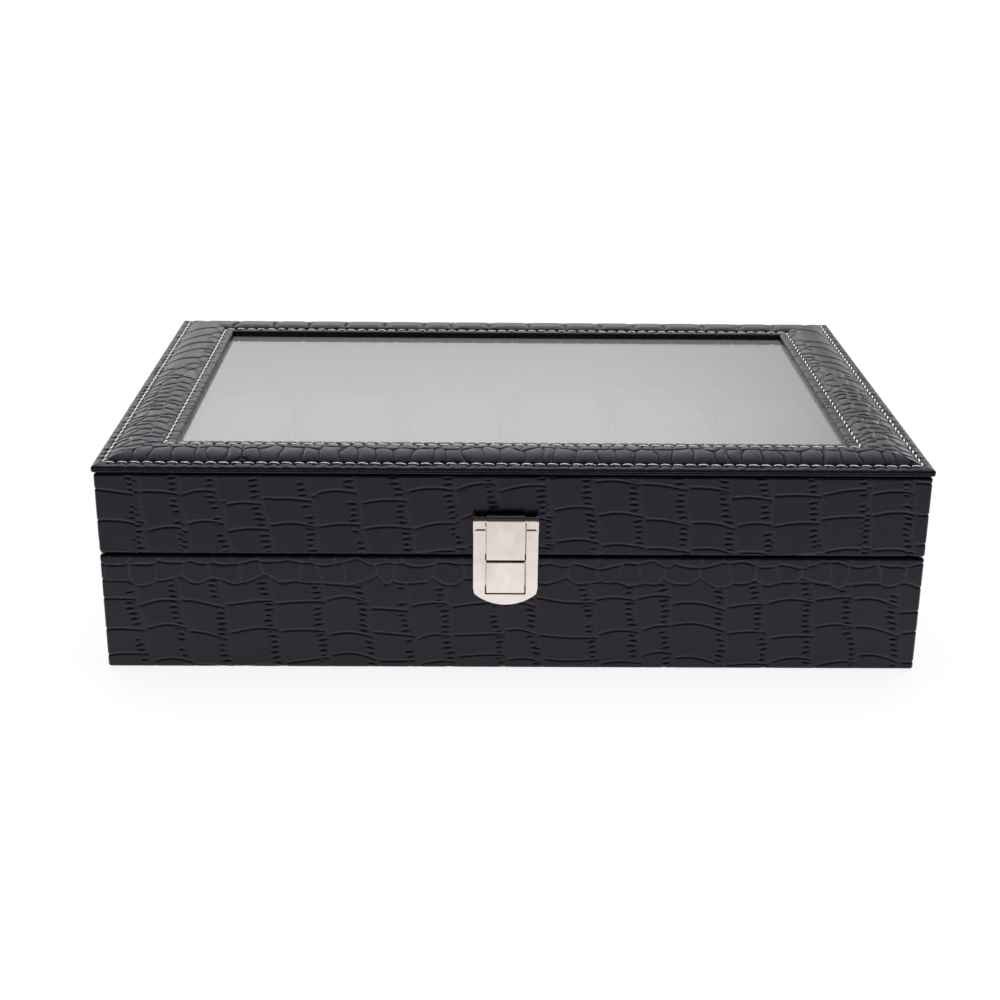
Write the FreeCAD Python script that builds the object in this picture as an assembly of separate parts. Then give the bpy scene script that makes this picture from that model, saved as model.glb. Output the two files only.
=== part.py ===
"""Watch box for six columns and two rows of watches, with a glazed lid and a flip-up front latch.

Frame: millimetres, +X to the right, +Y to the back, +Z up.
The origin is the middle of the underside. The box is shut and latched.
"""
import FreeCAD, Part
import math
import os

Vector = FreeCAD.Vector
X_AXIS = Vector(1, 0, 0)
Y_AXIS = Vector(0, 1, 0)
Z_AXIS = Vector(0, 0, 1)

# Case: outside sizes are taken over the leather
box_width = 300.0
box_depth = 200.0
base_height = 45.0
seam_gap = 0.5
lid_wall_height = 30.8
leather = 0.8
edge_radius = 1.0
base_board = 8.0
lid_board = 7.4
bottom_board = 4.0
turn_under = 10.0

# Lining and dividers of the base
lining = 2.0
lip_height = 5.0
floor_pad = 2.0
columns = 6
rows = 2
divider = 3.0
divider_height = 35.0
lap_clearance = 0.1

# Watch pillows
pillow_side_gap = 1.2
pillow_end_gap = 1.8
pillow_height = 46.5
pillow_lift = 0.3
pillow_round = 17.0
pillow_chamfer = 4.0

# Padded top panel: a leather-covered board with a window, padded towards the window
overhang = 0.8
border = 26.8
frame_board = 1.8
foam = 1.2
crown = 0.5
outer_channel = 4.0
inner_channel = 3.8
channel_width = 1.2
channel_depth = 0.5
window_round = 1.2

# Window pane, let into the panel, and what holds it from below
glass = 2.0
glass_overlap = 5.5
glass_clearance = 0.3
retainer = 3.0
lid_lining = 1.2
lip_headroom = 1.5

# Stop hinges on the back
hinge_inset = 55.0
leaf_width = 26.0
leaf_height = 13.0
leaf = 1.0
leaf_corner = 2.0
barrel_radius = 2.0
hinge_pin_radius = 1.0
middle_knuckle = 9.0
knuckle_gap = 0.2
running_clearance = 0.05
stop_angle = 101.5
wing_length = 3.7
wing = 1.2
wing_clearance = 0.3
pin_head_radius = 1.5
pin_head = 0.6

# Screws of the hinges
screw_spacing = 15.0
screw_offset = 6.5
screw_radius = 0.9
screw_head_radius = 1.7
screw_head = 0.9
screw_length = 6.5

# Front latch: a swinging flap round two raised blocks
latch_offset = -3.0
latch_width = 23.5
latch_depth = 5.0
latch_window = 14.8
block_gap = 0.4
block_split = 0.3
pivot_rise = 15.0
window_drop = 13.0
flap_drop = 17.2
flap_side_drop = 10.8
flap_taper_drop = 12.9
flap_taper = 0.45
flap_sheet = 1.2
flap_flange = 1.0
flap_wall_gap = 0.5
cheek_radius = 2.2
ear_radius = 1.7
ear_step = 2.8
latch_barrel_radius = 2.3
latch_pin_radius = 1.0
latch_edge = 0.4
back_plate = 0.8
back_plate_width = 19.0
back_plate_height = 10.8
plate_rim_gap = 1.3
nail_radius = 0.5
nail_head_radius = 0.9
nail_head = 0.5
nail_length = 5.5
nail_spacing_x = 16.5
nail_spacing_z = 6.0

# Levels and half sizes that follow from the sizes above
half_x = box_width / 2
half_y = box_depth / 2
seam_z = base_height + seam_gap / 2
lid_z = base_height + seam_gap
panel_z = lid_z + lid_wall_height
base_in_x = half_x - leather - base_board
base_in_y = half_y - leather - base_board
lid_in_x = half_x - leather - lid_board
lid_in_y = half_y - leather - lid_board
tray_x = base_in_x - lining
tray_y = base_in_y - lining
board_floor_z = leather + bottom_board
floor_z = board_floor_z + floor_pad
lip_z = base_height + lip_height
panel_x = half_x + overhang
panel_y = half_y + overhang
window_x = panel_x - border
window_y = panel_y - border
outer_top = panel_z + 2 * leather + frame_board
inner_top = outer_top + foam
glass_seat = glass_overlap + glass_clearance
seat_z = panel_z + glass
retainer_z = panel_z - retainer
slot_width = (2 * tray_x - (columns - 1) * divider) / columns
row_length = (2 * tray_y - (rows - 1) * divider) / rows


def block(x, y, z):
    """Box between pairs of limits along X, Y and Z."""
    size = (x[1] - x[0], y[1] - y[0], z[1] - z[0])
    return Part.makeBox(*size, Vector(x[0], y[0], z[0]))


def slab(reach_x, reach_y, z):
    """Box centred on the Z axis."""
    return block((-reach_x, reach_x), (-reach_y, reach_y), z)


def prism(points, direction):
    """Polygon carried along a direction."""
    outline = Part.makePolygon([*points, points[0]])
    return Part.Face(outline).extrude(direction)


def rod(radius, x, y, z):
    """Cylinder along X between two limits, on the axis at y and z."""
    return Part.makeCylinder(radius, x[1] - x[0], Vector(x[0], y, z), X_AXIS)


def edges_on(shape, test):
    """The edges whose end points all pass a test."""
    return [edge for edge in shape.Edges if all(test(vertex.Point) for vertex in edge.Vertexes)]


def near(first, second):
    return abs(first - second) < 1e-6


def mitre(side, reach_x, reach_y, width, z):
    """Wedge that trims one side of a rectangular frame at 45 degrees."""
    long_side = side in ("front", "back")
    along, across = (reach_x, reach_y) if long_side else (reach_y, reach_x)
    sign = -1 if side in ("front", "left") else 1
    short, inside = along - width, across - width
    corners = [(-along, across), (along, across), (short, inside), (-short, inside)]
    if long_side:
        points = [Vector(a, sign * b, z[0]) for a, b in corners]
    else:
        points = [Vector(sign * b, a, z[0]) for a, b in corners]
    return prism(points, Z_AXIS * (z[1] - z[0]))


def mitred_boards(reach_x, reach_y, thickness, z):
    """Four wall boards that meet at 45 degrees in the corners, by side."""
    sides = ("front", "back", "left", "right")
    return {side: mitre(side, reach_x, reach_y, thickness, z) for side in sides}


def wrapped_block(z):
    """The outside of a wrapped case: its upright and level edges are rounded by the leather."""
    body = slab(half_x, half_y, z)
    return body.makeFillet(edge_radius, body.Edges)


# Base


def base_wrap():
    """Leather round the base walls, turned over the rim and under the bottom."""
    skin = wrapped_block((0, base_height))
    skin = skin.cut(slab(base_in_x, base_in_y, (leather, base_height)))
    boards = slab(half_x - leather, half_y - leather, (leather, base_height - leather))
    skin = skin.cut(boards)
    return skin.cut(slab(half_x - turn_under, half_y - turn_under, (0, leather)))


def base_boards():
    height = (leather, base_height - leather)
    return mitred_boards(half_x - leather, half_y - leather, base_board, height)


def bottom_felt():
    """Flocked sheet between the turned-under margins, level with them."""
    return slab(half_x - turn_under, half_y - turn_under, (0, leather))


def bottom_panel():
    return slab(base_in_x, base_in_y, (leather, board_floor_z))


def base_lining():
    """Velvet-covered boards that stand above the rim as a lip inside the lid."""
    return mitred_boards(base_in_x, base_in_y, lining, (board_floor_z, lip_z))


def floor_cushion():
    return slab(tray_x, tray_y, (board_floor_z, floor_z))


def divider_section(centre, along):
    """Upright board with a rounded top edge, as the velvet wraps it."""
    low = floor_z
    shoulder = floor_z + divider_height - divider / 2
    across = divider / 2
    if along == "x":
        def point(a, z):
            return Vector(-tray_x, centre + a, z)
        run = X_AXIS * (2 * tray_x)
    else:
        def point(a, z):
            return Vector(centre + a, -tray_y, z)
        run = Y_AXIS * (2 * tray_y)
    top = Part.Arc(point(across, shoulder), point(0, shoulder + across), point(-across, shoulder))
    edges = [
        Part.makeLine(point(-across, low), point(across, low)),
        Part.makeLine(point(across, low), point(across, shoulder)),
        top.toShape(),
        Part.makeLine(point(-across, shoulder), point(-across, low)),
    ]
    return Part.Face(Part.Wire(edges)).extrude(run)


def divider_places(reach, spaces):
    """Centres of the dividers that share a length into equal spaces."""
    pitch = (2 * reach + divider) / spaces
    return [-reach - divider / 2 + pitch * k for k in range(1, spaces)]


def halving_notches(places, along, z):
    """Notches that let the dividers of one direction pass those of the other."""
    wide = divider / 2 + lap_clearance
    notches = []
    for place in places:
        if along == "x":
            notches.append(block((place - wide, place + wide), (-half_y, half_y), z))
        else:
            notches.append(block((-half_x, half_x), (place - wide, place + wide), z))
    return Part.makeCompound(notches)


def long_divider():
    """Divider between the rows, notched from above for the cross dividers."""
    board = divider_section(divider_places(tray_y, rows)[0], "x")
    half_height = floor_z + divider_height / 2
    notches = halving_notches(divider_places(tray_x, columns), "x", (half_height, base_height))
    return board.cut(notches)


def cross_divider(x):
    """Divider between two columns, notched from below for the long divider."""
    board = divider_section(x, "y")
    half_height = floor_z + divider_height / 2 + lap_clearance
    notch = halving_notches(divider_places(tray_y, rows), "y", (0, half_height))
    return board.cut(notch)


def watch_pillow(column, row):
    """Cushion with a wrist-like rounded section, seen from the side, and eased ends."""
    width = slot_width - 2 * pillow_side_gap
    length = row_length - 2 * pillow_end_gap
    x = -tray_x + slot_width / 2 + column * (slot_width + divider)
    y = -tray_y + row_length / 2 + row * (row_length + divider)
    z = floor_z + pillow_lift
    body = slab(width / 2, length / 2, (z, z + pillow_height)).translated(Vector(x, y, 0))
    across = [edge for edge in body.Edges if near(abs(edge.tangentAt(edge.FirstParameter).x), 1)]
    rounded = body.makeFillet(pillow_round, across)
    ends = [face for face in rounded.Faces if near(abs(face.normalAt(0, 0).x), 1)]
    return rounded.makeChamfer(pillow_chamfer, [edge for face in ends for edge in face.Edges])


# Lid


def lid_wrap():
    """Leather round the lid walls, turned over both of their edges."""
    skin = wrapped_block((lid_z, panel_z))
    skin = skin.cut(slab(lid_in_x, lid_in_y, (lid_z, panel_z)))
    boards = slab(half_x - leather, half_y - leather, (lid_z + leather, panel_z - leather))
    return skin.cut(boards)


def lid_boards():
    height = (lid_z + leather, panel_z - leather)
    return mitred_boards(half_x - leather, half_y - leather, lid_board, height)


def frame_panel():
    """Stiff board inside the padded top panel."""
    z = (panel_z + leather, panel_z + leather + frame_board)
    outside = slab(panel_x - leather, panel_y - leather, z)
    inset = glass_seat + leather
    return outside.cut(slab(window_x + inset, window_y + inset, z))


def cover_outline(point):
    """Section of the padded panel: nose, sewn channel, crown, sewn channel, window edge, pane seat."""
    nose = (outer_top - panel_z) / 2
    half_channel = channel_width / 2
    sewn_out = outer_channel
    sewn_in = border - inner_channel
    middle = (sewn_out + sewn_in) / 2
    seat = border - glass_seat

    def line(first, second):
        return Part.makeLine(point(*first), point(*second))

    def arc(first, second, third):
        return Part.Arc(point(*first), point(*second), point(*third)).toShape()

    def channel(place, top):
        return arc((place - half_channel, top), (place, top - channel_depth), (place + half_channel, top))

    corner = window_round * (1 - math.sqrt(0.5))
    edge = inner_top - window_round
    return Part.Wire([
        arc((nose, panel_z), (0, panel_z + nose), (nose, outer_top)),
        line((nose, outer_top), (sewn_out - half_channel, outer_top)),
        channel(sewn_out, outer_top),
        arc(
            (sewn_out + half_channel, outer_top),
            (middle, inner_top + crown),
            (sewn_in - half_channel, inner_top),
        ),
        channel(sewn_in, inner_top),
        line((sewn_in + half_channel, inner_top), (border - window_round, inner_top)),
        arc((border - window_round, inner_top), (border - corner, inner_top - corner), (border, edge)),
        line((border, edge), (border, seat_z)),
        line((border, seat_z), (seat, seat_z)),
        line((seat, seat_z), (seat, panel_z)),
        line((seat, panel_z), (nose, panel_z)),
    ])


def cover_side(side):
    """One side of the padded cover, mitred at both ends."""
    reach = panel_x if side in ("front", "back") else panel_y
    sign = -1 if side in ("front", "left") else 1

    def point(inset, z):
        if side in ("front", "back"):
            return Vector(-reach, sign * (panel_y - inset), z)
        return Vector(sign * (panel_x - inset), -reach, z)

    run = (X_AXIS if side in ("front", "back") else Y_AXIS) * (2 * reach)
    strip = Part.Face(cover_outline(point)).extrude(run)
    height = (panel_z, inner_top + 2 * crown)
    return strip.common(mitre(side, panel_x, panel_y, border, height))


def padded_cover():
    """Stitched leather over foam, wrapped all round the frame panel."""
    sides = [cover_side(side) for side in ("front", "back", "left", "right")]
    frame = sides[0].multiFuse(sides[1:]).removeSplitter()
    return frame.cut(frame_panel())


def glass_pane():
    return slab(window_x + glass_overlap, window_y + glass_overlap, (panel_z, seat_z))


def glass_retainer():
    """Velvet-covered frame that holds the pane up in its seat."""
    frame = slab(lid_in_x, lid_in_y, (retainer_z, panel_z))
    return frame.cut(slab(window_x, window_y, (retainer_z, panel_z)))


def lid_lining_boards():
    return mitred_boards(lid_in_x, lid_in_y, lid_lining, (lip_z + lip_headroom, retainer_z))


# Stop hinges, made about their own axis: q is the distance behind the back face

hinge_q = barrel_radius
hinge_places = (hinge_inset - half_x, half_x - hinge_inset)
bore_radius = hinge_pin_radius + running_clearance
end_knuckles = (
    (-leaf_width / 2, -middle_knuckle / 2 - knuckle_gap),
    (middle_knuckle / 2 + knuckle_gap, leaf_width / 2),
)
mid_knuckle = ((-middle_knuckle / 2, middle_knuckle / 2),)
leaf_clear = barrel_radius + wing_clearance


def leaf_plate(direction):
    """Leaf on the back face, below (-1) or above (+1) the axis, with two rounded corners."""
    near_z = seam_z + direction * leaf_clear
    far_z = near_z + direction * leaf_height
    plate = block((-leaf_width / 2, leaf_width / 2), (0, leaf), sorted((near_z, far_z)))
    corners = edges_on(plate, lambda p: near(p.z, far_z))
    corners = [edge for edge in corners if near(abs(edge.tangentAt(edge.FirstParameter).y), 1)]
    return plate.makeFillet(leaf_corner, corners)


def stop_wing(knuckles, direction):
    """Plate that stands out behind the barrel and meets the other leaf's plate when the lid is open."""
    foot = hinge_q + barrel_radius + wing_clearance
    plate = block((-leaf_width / 2, leaf_width / 2), (foot, foot + wing_length), (0, wing))
    necks = [block(span, (hinge_q + bore_radius, foot), (0, wing)) for span in knuckles]
    solid = plate.multiFuse(necks)
    if direction < 0:
        solid.translate(Z_AXIS * -wing)
    solid.translate(Z_AXIS * seam_z)
    solid.rotate(Vector(0, hinge_q, seam_z), X_AXIS, direction * stop_angle / 2)
    return solid


def hinge_leaf(direction):
    """Leaf with its knuckles and stop wing: the base leaf is below the axis, the lid leaf above."""
    knuckles = end_knuckles if direction < 0 else mid_knuckle
    solids = [stop_wing(knuckles, direction)]
    for span in knuckles:
        solids.append(block(span, (0, leaf), sorted((seam_z, seam_z + direction * leaf_clear))))
        solids.append(rod(barrel_radius, span, hinge_q, seam_z))
    body = leaf_plate(direction).multiFuse(solids).removeSplitter()
    body = body.cut(rod(bore_radius, (-leaf_width, leaf_width), hinge_q, seam_z))
    for x, z in screw_points(direction):
        hole = Part.makeCylinder(screw_radius + running_clearance, leaf, Vector(x, 0, z), Y_AXIS)
        body = body.cut(hole)
    return body


def hinge_pin():
    end = leaf_width / 2
    shank = rod(hinge_pin_radius, (-end - pin_head, end + pin_head), hinge_q, seam_z)
    heads = [rod(pin_head_radius, (-end - pin_head, -end), hinge_q, seam_z)]
    heads.append(rod(pin_head_radius, (end, end + pin_head), hinge_q, seam_z))
    return shank.multiFuse(heads).removeSplitter()


def screw_points(direction):
    """Places of a leaf's two screws, about the hinge's middle."""
    z = seam_z + direction * (leaf_clear + screw_offset)
    return [(-screw_spacing / 2, z), (screw_spacing / 2, z)]


def on_back(shape, x):
    """A copy of a hinge piece at its place on the back face."""
    return shape.translated(Vector(x, half_y, 0))


def hinge_screw(x, z):
    """Domed screw through a leaf into the wall board."""
    head = Part.makeCylinder(screw_head_radius, screw_head, Vector(x, leaf, z), Y_AXIS)
    rim = edges_on(head, lambda p: near(p.y, leaf + screw_head))
    head = head.makeFillet(screw_head / 2, [edge for edge in rim if len(edge.Vertexes) == 1])
    shank = Part.makeCylinder(screw_radius, screw_length + leaf, Vector(x, -screw_length, z), Y_AXIS)
    return head.fuse(shank)


def hinge_screws(direction):
    screws = [on_back(hinge_screw(*point), x) for x in hinge_places for point in screw_points(direction)]
    return Part.makeCompound(screws)


def hinge_holes(direction):
    """Pilot holes of all screws of one row."""
    holes = []
    for x in hinge_places:
        for u, z in screw_points(direction):
            start = Vector(u, -screw_length, z)
            hole = Part.makeCylinder(screw_radius + running_clearance, screw_length, start, Y_AXIS)
            holes.append(on_back(hole, x))
    return Part.makeCompound(holes)


# Front latch, made with the wall face at y = 0 and the viewer towards -Y

pivot_z = seam_z + pivot_rise
pivot_y = -(latch_depth - latch_barrel_radius)
latch_bore = latch_pin_radius + running_clearance
block_half = latch_window / 2 - block_gap
flap_half = latch_width / 2
arm = (latch_window / 2, flap_half)
nail_x = nail_spacing_x / 2


def eased_block(z, open_top):
    """Raised block whose front edges are eased, apart from the top one where it runs into a barrel."""
    body = block((-block_half, block_half), (-latch_depth, 0), z)
    front = edges_on(body, lambda p: near(p.y, -latch_depth))
    if open_top:
        front = [edge for edge in front if not all(near(v.Point.z, z[1]) for v in edge.Vertexes)]
    return body.makeFillet(latch_edge, front)


def nail_points(direction):
    """Places of the four nails of one plate: below (-1) or above (+1) the seam."""
    middle = seam_z + direction * (plate_rim_gap + back_plate_height / 2)
    return [(x, middle + s * nail_spacing_z / 2) for x in (-nail_x, nail_x) for s in (-1, 1)]


def latch_plate(direction):
    """Plate that is nailed to the leather, below or above the seam."""
    low = seam_z + direction * plate_rim_gap
    far = low + direction * back_plate_height
    plate = block((-back_plate_width / 2, back_plate_width / 2), (-back_plate, 0), sorted((low, far)))
    for x, z in nail_points(direction):
        start = Vector(x, -back_plate, z)
        plate = plate.cut(Part.makeCylinder(nail_radius + running_clearance, back_plate, start, Y_AXIS))
    return plate


def latch_lid_plate():
    """Upper block with the middle of the pivot barrel along its top."""
    raised = eased_block((seam_z + block_split, pivot_z), True)
    barrel = rod(latch_barrel_radius, (-block_half, block_half), pivot_y, pivot_z)
    body = latch_plate(1).multiFuse([raised, barrel]).removeSplitter()
    return body.cut(rod(latch_bore, (-flap_half, flap_half), pivot_y, pivot_z))


def latch_keeper():
    """Lower block that the window of the flap closes round."""
    raised = eased_block((seam_z - window_drop + block_gap, seam_z - block_split), False)
    return latch_plate(-1).fuse(raised).removeSplitter()


def flap_outline(inset, y, top):
    """Shield shape of the flap: straight sides, a short taper and a round foot."""
    side = flap_half - inset
    low = side - flap_taper
    points = [Vector(-side, y, top), Vector(-side, y, seam_z - flap_side_drop)]
    foot = [Vector(-low, y, seam_z - flap_taper_drop), Vector(low, y, seam_z - flap_taper_drop)]
    points_back = [Vector(side, y, seam_z - flap_side_drop), Vector(side, y, top)]
    round_foot = Part.Arc(foot[0], Vector(0, y, seam_z - flap_drop + inset), foot[1]).toShape()
    return Part.Face(Part.Wire([
        Part.makeLine(points[0], points[1]),
        Part.makeLine(points[1], foot[0]),
        round_foot,
        Part.makeLine(foot[1], points_back[0]),
        Part.makeLine(points_back[0], points_back[1]),
        Part.makeLine(points_back[1], points[0]),
    ]))


def latch_flap():
    """Pressed flap: a flanged shield with an open-topped window, and cheeked ears on the pivot pin."""
    arm_top = pivot_z - ear_step
    shell = flap_outline(0, -latch_depth, arm_top).extrude(Y_AXIS * (latch_depth - flap_wall_gap))
    front = edges_on(shell, lambda p: near(p.y, -latch_depth))
    shell = shell.makeFillet(latch_edge, front)
    hollow_depth = latch_depth - flap_sheet - flap_wall_gap
    hollow = flap_outline(flap_flange, flap_sheet - latch_depth, arm_top).extrude(Y_AXIS * hollow_depth)
    window = block((-arm[0], arm[0]), (-latch_depth, 0), (seam_z - window_drop, pivot_z))
    shell = shell.cut(hollow).cut(window)
    ears = []
    for span in ((-arm[1], -arm[0]), arm):
        ears.append(rod(ear_radius, span, pivot_y, pivot_z))
        ears.append(block(span, (pivot_y - ear_radius, pivot_y), (arm_top - flap_sheet, pivot_z)))
    for span in ((-flap_half, -flap_half + flap_flange), (flap_half - flap_flange, flap_half)):
        ears.append(rod(cheek_radius, span, pivot_y, pivot_z))
        cheek = (pivot_y - cheek_radius, pivot_y + cheek_radius)
        ears.append(block(span, cheek, (arm_top - flap_sheet, pivot_z)))
    body = shell.multiFuse(ears).removeSplitter()
    return body.cut(rod(latch_bore, (-latch_width, latch_width), pivot_y, pivot_z))


def latch_pin():
    return rod(latch_pin_radius, (-flap_half, flap_half), pivot_y, pivot_z)


def latch_nail(x, z):
    head = Part.makeCylinder(nail_head_radius, nail_head, Vector(x, -back_plate - nail_head, z), Y_AXIS)
    shank = Part.makeCylinder(nail_radius, back_plate + nail_length, Vector(x, -back_plate, z), Y_AXIS)
    return head.fuse(shank)


def on_front(shape):
    """A copy of a latch piece at its place on the front face."""
    return shape.translated(Vector(latch_offset, -half_y, 0))


def latch_nails(direction):
    return Part.makeCompound([on_front(latch_nail(*point)) for point in nail_points(direction)])


def nail_holes(direction):
    holes = []
    for x, z in nail_points(direction):
        hole = Part.makeCylinder(nail_radius + running_clearance, nail_length, Vector(x, 0, z), Y_AXIS)
        holes.append(on_front(hole))
    return Part.makeCompound(holes)


def drilled(shape, direction):
    """A wall or its leather with the holes of the latch and hinge fasteners."""
    return shape.cut(nail_holes(direction)).cut(hinge_holes(direction))


def build():
    """Every piece at its place, by node name."""
    nodes = {
        "base_wrap": drilled(base_wrap(), -1),
        "bottom_felt": bottom_felt(),
        "bottom_panel": bottom_panel(),
        "floor_cushion": floor_cushion(),
        "long_divider": long_divider(),
        "lid_wrap": drilled(lid_wrap(), 1),
        "lid_frame_panel": frame_panel(),
        "lid_padded_cover": padded_cover(),
        "glass_pane": glass_pane(),
        "glass_retainer": glass_retainer(),
        "latch_lid_plate": on_front(latch_lid_plate()),
        "latch_keeper": on_front(latch_keeper()),
        "latch_flap": on_front(latch_flap()),
        "latch_pin": on_front(latch_pin()),
        "latch_lid_nails": latch_nails(1),
        "latch_keeper_nails": latch_nails(-1),
        "hinge_base_screws": hinge_screws(-1),
        "hinge_lid_screws": hinge_screws(1),
    }
    for side, board in base_boards().items():
        nodes[f"base_{side}_wall"] = drilled(board, -1)
    for side, board in base_lining().items():
        nodes[f"base_{side}_lining"] = board
    for side, board in lid_boards().items():
        nodes[f"lid_{side}_wall"] = drilled(board, 1)
    for side, board in lid_lining_boards().items():
        nodes[f"lid_{side}_lining"] = board
    for number, x in enumerate(divider_places(tray_x, columns), 1):
        nodes[f"cross_divider_{number}"] = cross_divider(x)
    for row in range(rows):
        for column in range(columns):
            nodes[f"watch_pillow_{row * columns + column + 1:02d}"] = watch_pillow(column, row)
    for side, x in zip(("left", "right"), hinge_places):
        nodes[f"{side}_hinge_base_leaf"] = on_back(hinge_leaf(-1), x)
        nodes[f"{side}_hinge_lid_leaf"] = on_back(hinge_leaf(1), x)
        nodes[f"{side}_hinge_pin"] = on_back(hinge_pin(), x)
    return nodes


def main():
    os.makedirs("parts", exist_ok=True)
    for name, shape in build().items():
        shape.exportStep(f"parts/{name}.step")


main()
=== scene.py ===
"""Looks of a black, reptile-embossed watch box with a glazed and padded lid, built round its solids.

Lengths inside the shape functions are millimetres; meshes are in metres, in the frame of the solids.
"""

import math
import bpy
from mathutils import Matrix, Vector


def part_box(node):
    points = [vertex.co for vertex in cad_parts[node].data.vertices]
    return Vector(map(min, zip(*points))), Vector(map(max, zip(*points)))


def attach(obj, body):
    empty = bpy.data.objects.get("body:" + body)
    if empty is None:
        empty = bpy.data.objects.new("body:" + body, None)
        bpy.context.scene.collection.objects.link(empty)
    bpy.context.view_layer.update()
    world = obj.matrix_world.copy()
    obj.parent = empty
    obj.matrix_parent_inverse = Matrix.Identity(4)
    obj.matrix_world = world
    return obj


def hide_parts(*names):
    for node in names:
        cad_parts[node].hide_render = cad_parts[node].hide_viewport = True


bl_info = {
    "name": "Watch Box",
    "version": (1, 0, 0),
    "blender": (4, 5, 0),
    "location": "View3D > Sidebar > Watch Box",
    "description": "Leather, stitching, velvet, pillows, metal and stage of a glazed watch box",
    "category": "Object",
}

import bpy
import numpy as np
from bpy.props import FloatProperty, FloatVectorProperty, PointerProperty
from mathutils import Matrix, Vector

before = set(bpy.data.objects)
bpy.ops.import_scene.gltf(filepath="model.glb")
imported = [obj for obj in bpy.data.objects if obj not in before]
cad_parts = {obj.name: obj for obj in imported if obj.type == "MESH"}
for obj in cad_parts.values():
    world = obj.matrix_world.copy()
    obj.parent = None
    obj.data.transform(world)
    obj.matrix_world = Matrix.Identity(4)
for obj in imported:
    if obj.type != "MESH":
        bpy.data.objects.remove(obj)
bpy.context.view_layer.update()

MM = 0.001
SIDES = ("left", "front", "right", "back")
ENDS = ("front", "back")
SHARP_EDGE = math.radians(75)
CORNER_STEPS = 5


def linear(code):
    """Linear red, green and blue of an sRGB hex code."""
    part = np.array([int(code[k : k + 2], 16) for k in (1, 3, 5)]) / 255
    part = np.where(part <= 0.04045, part / 12.92, ((part + 0.055) / 1.055) ** 2.4)
    return tuple(float(value) for value in part)


def length_of(name, description, size):
    """Setting for a length, from its default in millimetres."""
    return FloatProperty(
        name=name, description=description, default=size * MM, min=0, precision=5, unit="LENGTH"
    )


def colour_of(name, description, code):
    """Setting for a colour, from its default as an sRGB hex code."""
    return FloatVectorProperty(
        name=name, description=description, default=linear(code), min=0, max=1, subtype="COLOR"
    )


def in_mm(settings, *keys):
    """Lengths from a group of settings, in millimetres."""
    return [getattr(settings, key) / MM for key in keys]


def box_mm(node):
    """Lowest and highest corners of a node at rest, in millimetres."""
    return [np.array(corner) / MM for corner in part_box(node)]


class LeatherSettings(bpy.types.PropertyGroup):
    """Embossed leather of the base, the lid and the padded frame"""

    colour: colour_of("Colour", "Skin of the leather", "#131217")
    # Painted shade: this colour darkens the bottom of the emboss, where shade falls
    groove_shade_colour: colour_of("Groove colour", "Bottom of the emboss", "#0B0B0E")
    # Painted highlight: this paler colour lies beside the lines of the emboss
    painted_highlight_colour: colour_of("Ridge colour", "Stretched skin beside the lines of the emboss", "#36343B")
    thickness: length_of("Thickness", "Leather sheet", 0.8)
    edge_radius: length_of("Edge radius", "Bend round an edge of the boards", 1.0)
    column: length_of("Column", "Width of a column of large scales", 16.4)
    row: length_of("Row", "Height of a large scale", 11.8)
    groove: length_of("Groove", "Depth of the lines between scales", 0.32)
    tick: length_of("Tick", "Spacing of the short slits beside a column", 2.15)
    mesh_step: length_of("Mesh step", "Spacing of the surface's points", 0.3)


class FrameSettings(bpy.types.PropertyGroup):
    """Padded and stitched frame on top of the lid"""

    border: length_of("Border", "Width of the frame at its sides", 26.8)
    end_border: length_of("End border", "Width of the frame at its front and back", 24.9)
    gap: length_of("Gap", "Height of the open joint under the outer edge", 0.35)
    edge: length_of("Edge", "Thickness of the frame at its outer edge", 3.4)
    shoulder: length_of("Shoulder", "Rise from the outer edge's rounding to the outer row", 0.35)
    foam: length_of("Foam", "Rise of the padding from the outer to the inner row", 1.2)
    crown: length_of("Crown", "Rise of the padding between the stitched rows", 1.0)
    channel: length_of("Channel", "Depth of a stitched row", 0.5)
    channel_half: length_of("Channel half width", "Half the width of a stitched row", 0.6)
    outer_row: length_of("Outer row", "Stitched row in from the outer edge", 4.0)
    inner_row: length_of("Inner row", "Stitched row out from the window", 3.8)
    window_round: length_of("Window edge", "Rounding of the window's edge", 1.2)
    seat: length_of("Pane seat", "Width of the step that the pane lies in", 5.8)
    seat_depth: length_of("Seat depth", "Depth of that step", 2.0)
    stitch_pitch: length_of("Stitch pitch", "Distance from hole to hole", 4.55)
    stitch: length_of("Stitch", "Thickness of a stitch", 0.58)
    dip: length_of("Dip", "Depth of the soft dip between scales", 0.12)
    back_dip: length_of("Back dip", "Depth of that dip on the frame's back", 0.45)
    thread: colour_of("Thread", "Sewing thread", "#E4E0E4")


class LiningSettings(bpy.types.PropertyGroup):
    """Velvet of the tray and the lid, and the watch pillows"""

    velvet: colour_of("Velvet", "Pile of the linings and dividers", "#8D8580")
    pillow: colour_of("Pillow velvet", "Pile of the pillows", "#A79E97")
    swell: length_of("Swell", "Most that the filling pushes a pillow's cover out", 2.6)
    piping: length_of("Piping", "Thickness of the seam round a pillow's ends", 1.3)


class MetalSettings(bpy.types.PropertyGroup):
    """Plated latch, hinges and fasteners, and the pane"""

    nickel: colour_of("Nickel", "Bright nickel plate", "#FBF3EE")
    glass: colour_of("Glass", "Clear float glass", "#DEDCDD")


class StageSettings(bpy.types.PropertyGroup):
    """Floor, lamp and camera"""

    floor: colour_of("Floor", "Pale floor", "#FAFAFA")
    overhead: FloatProperty(
        name="Overhead lamp", description="Soft lamp above", default=34.0, min=0, unit="POWER"
    )
    lens: FloatProperty(
        name="Lens", description="Focal length", default=59.78, min=1, unit="CAMERA"
    )


# Surfaces


def chance(*keys):
    """Values spread from 0 to 1 that are always the same for the same whole numbers.

    The fraction of a large multiple of the sine of the weighted sum of the keys.
    """
    weights = (12.9898, 78.233, 37.719, 4.581)
    mixed = sum(key * weight for key, weight in zip(keys, weights))
    return np.modf(np.abs(np.sin(mixed) * 43758.5453))[0]


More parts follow.
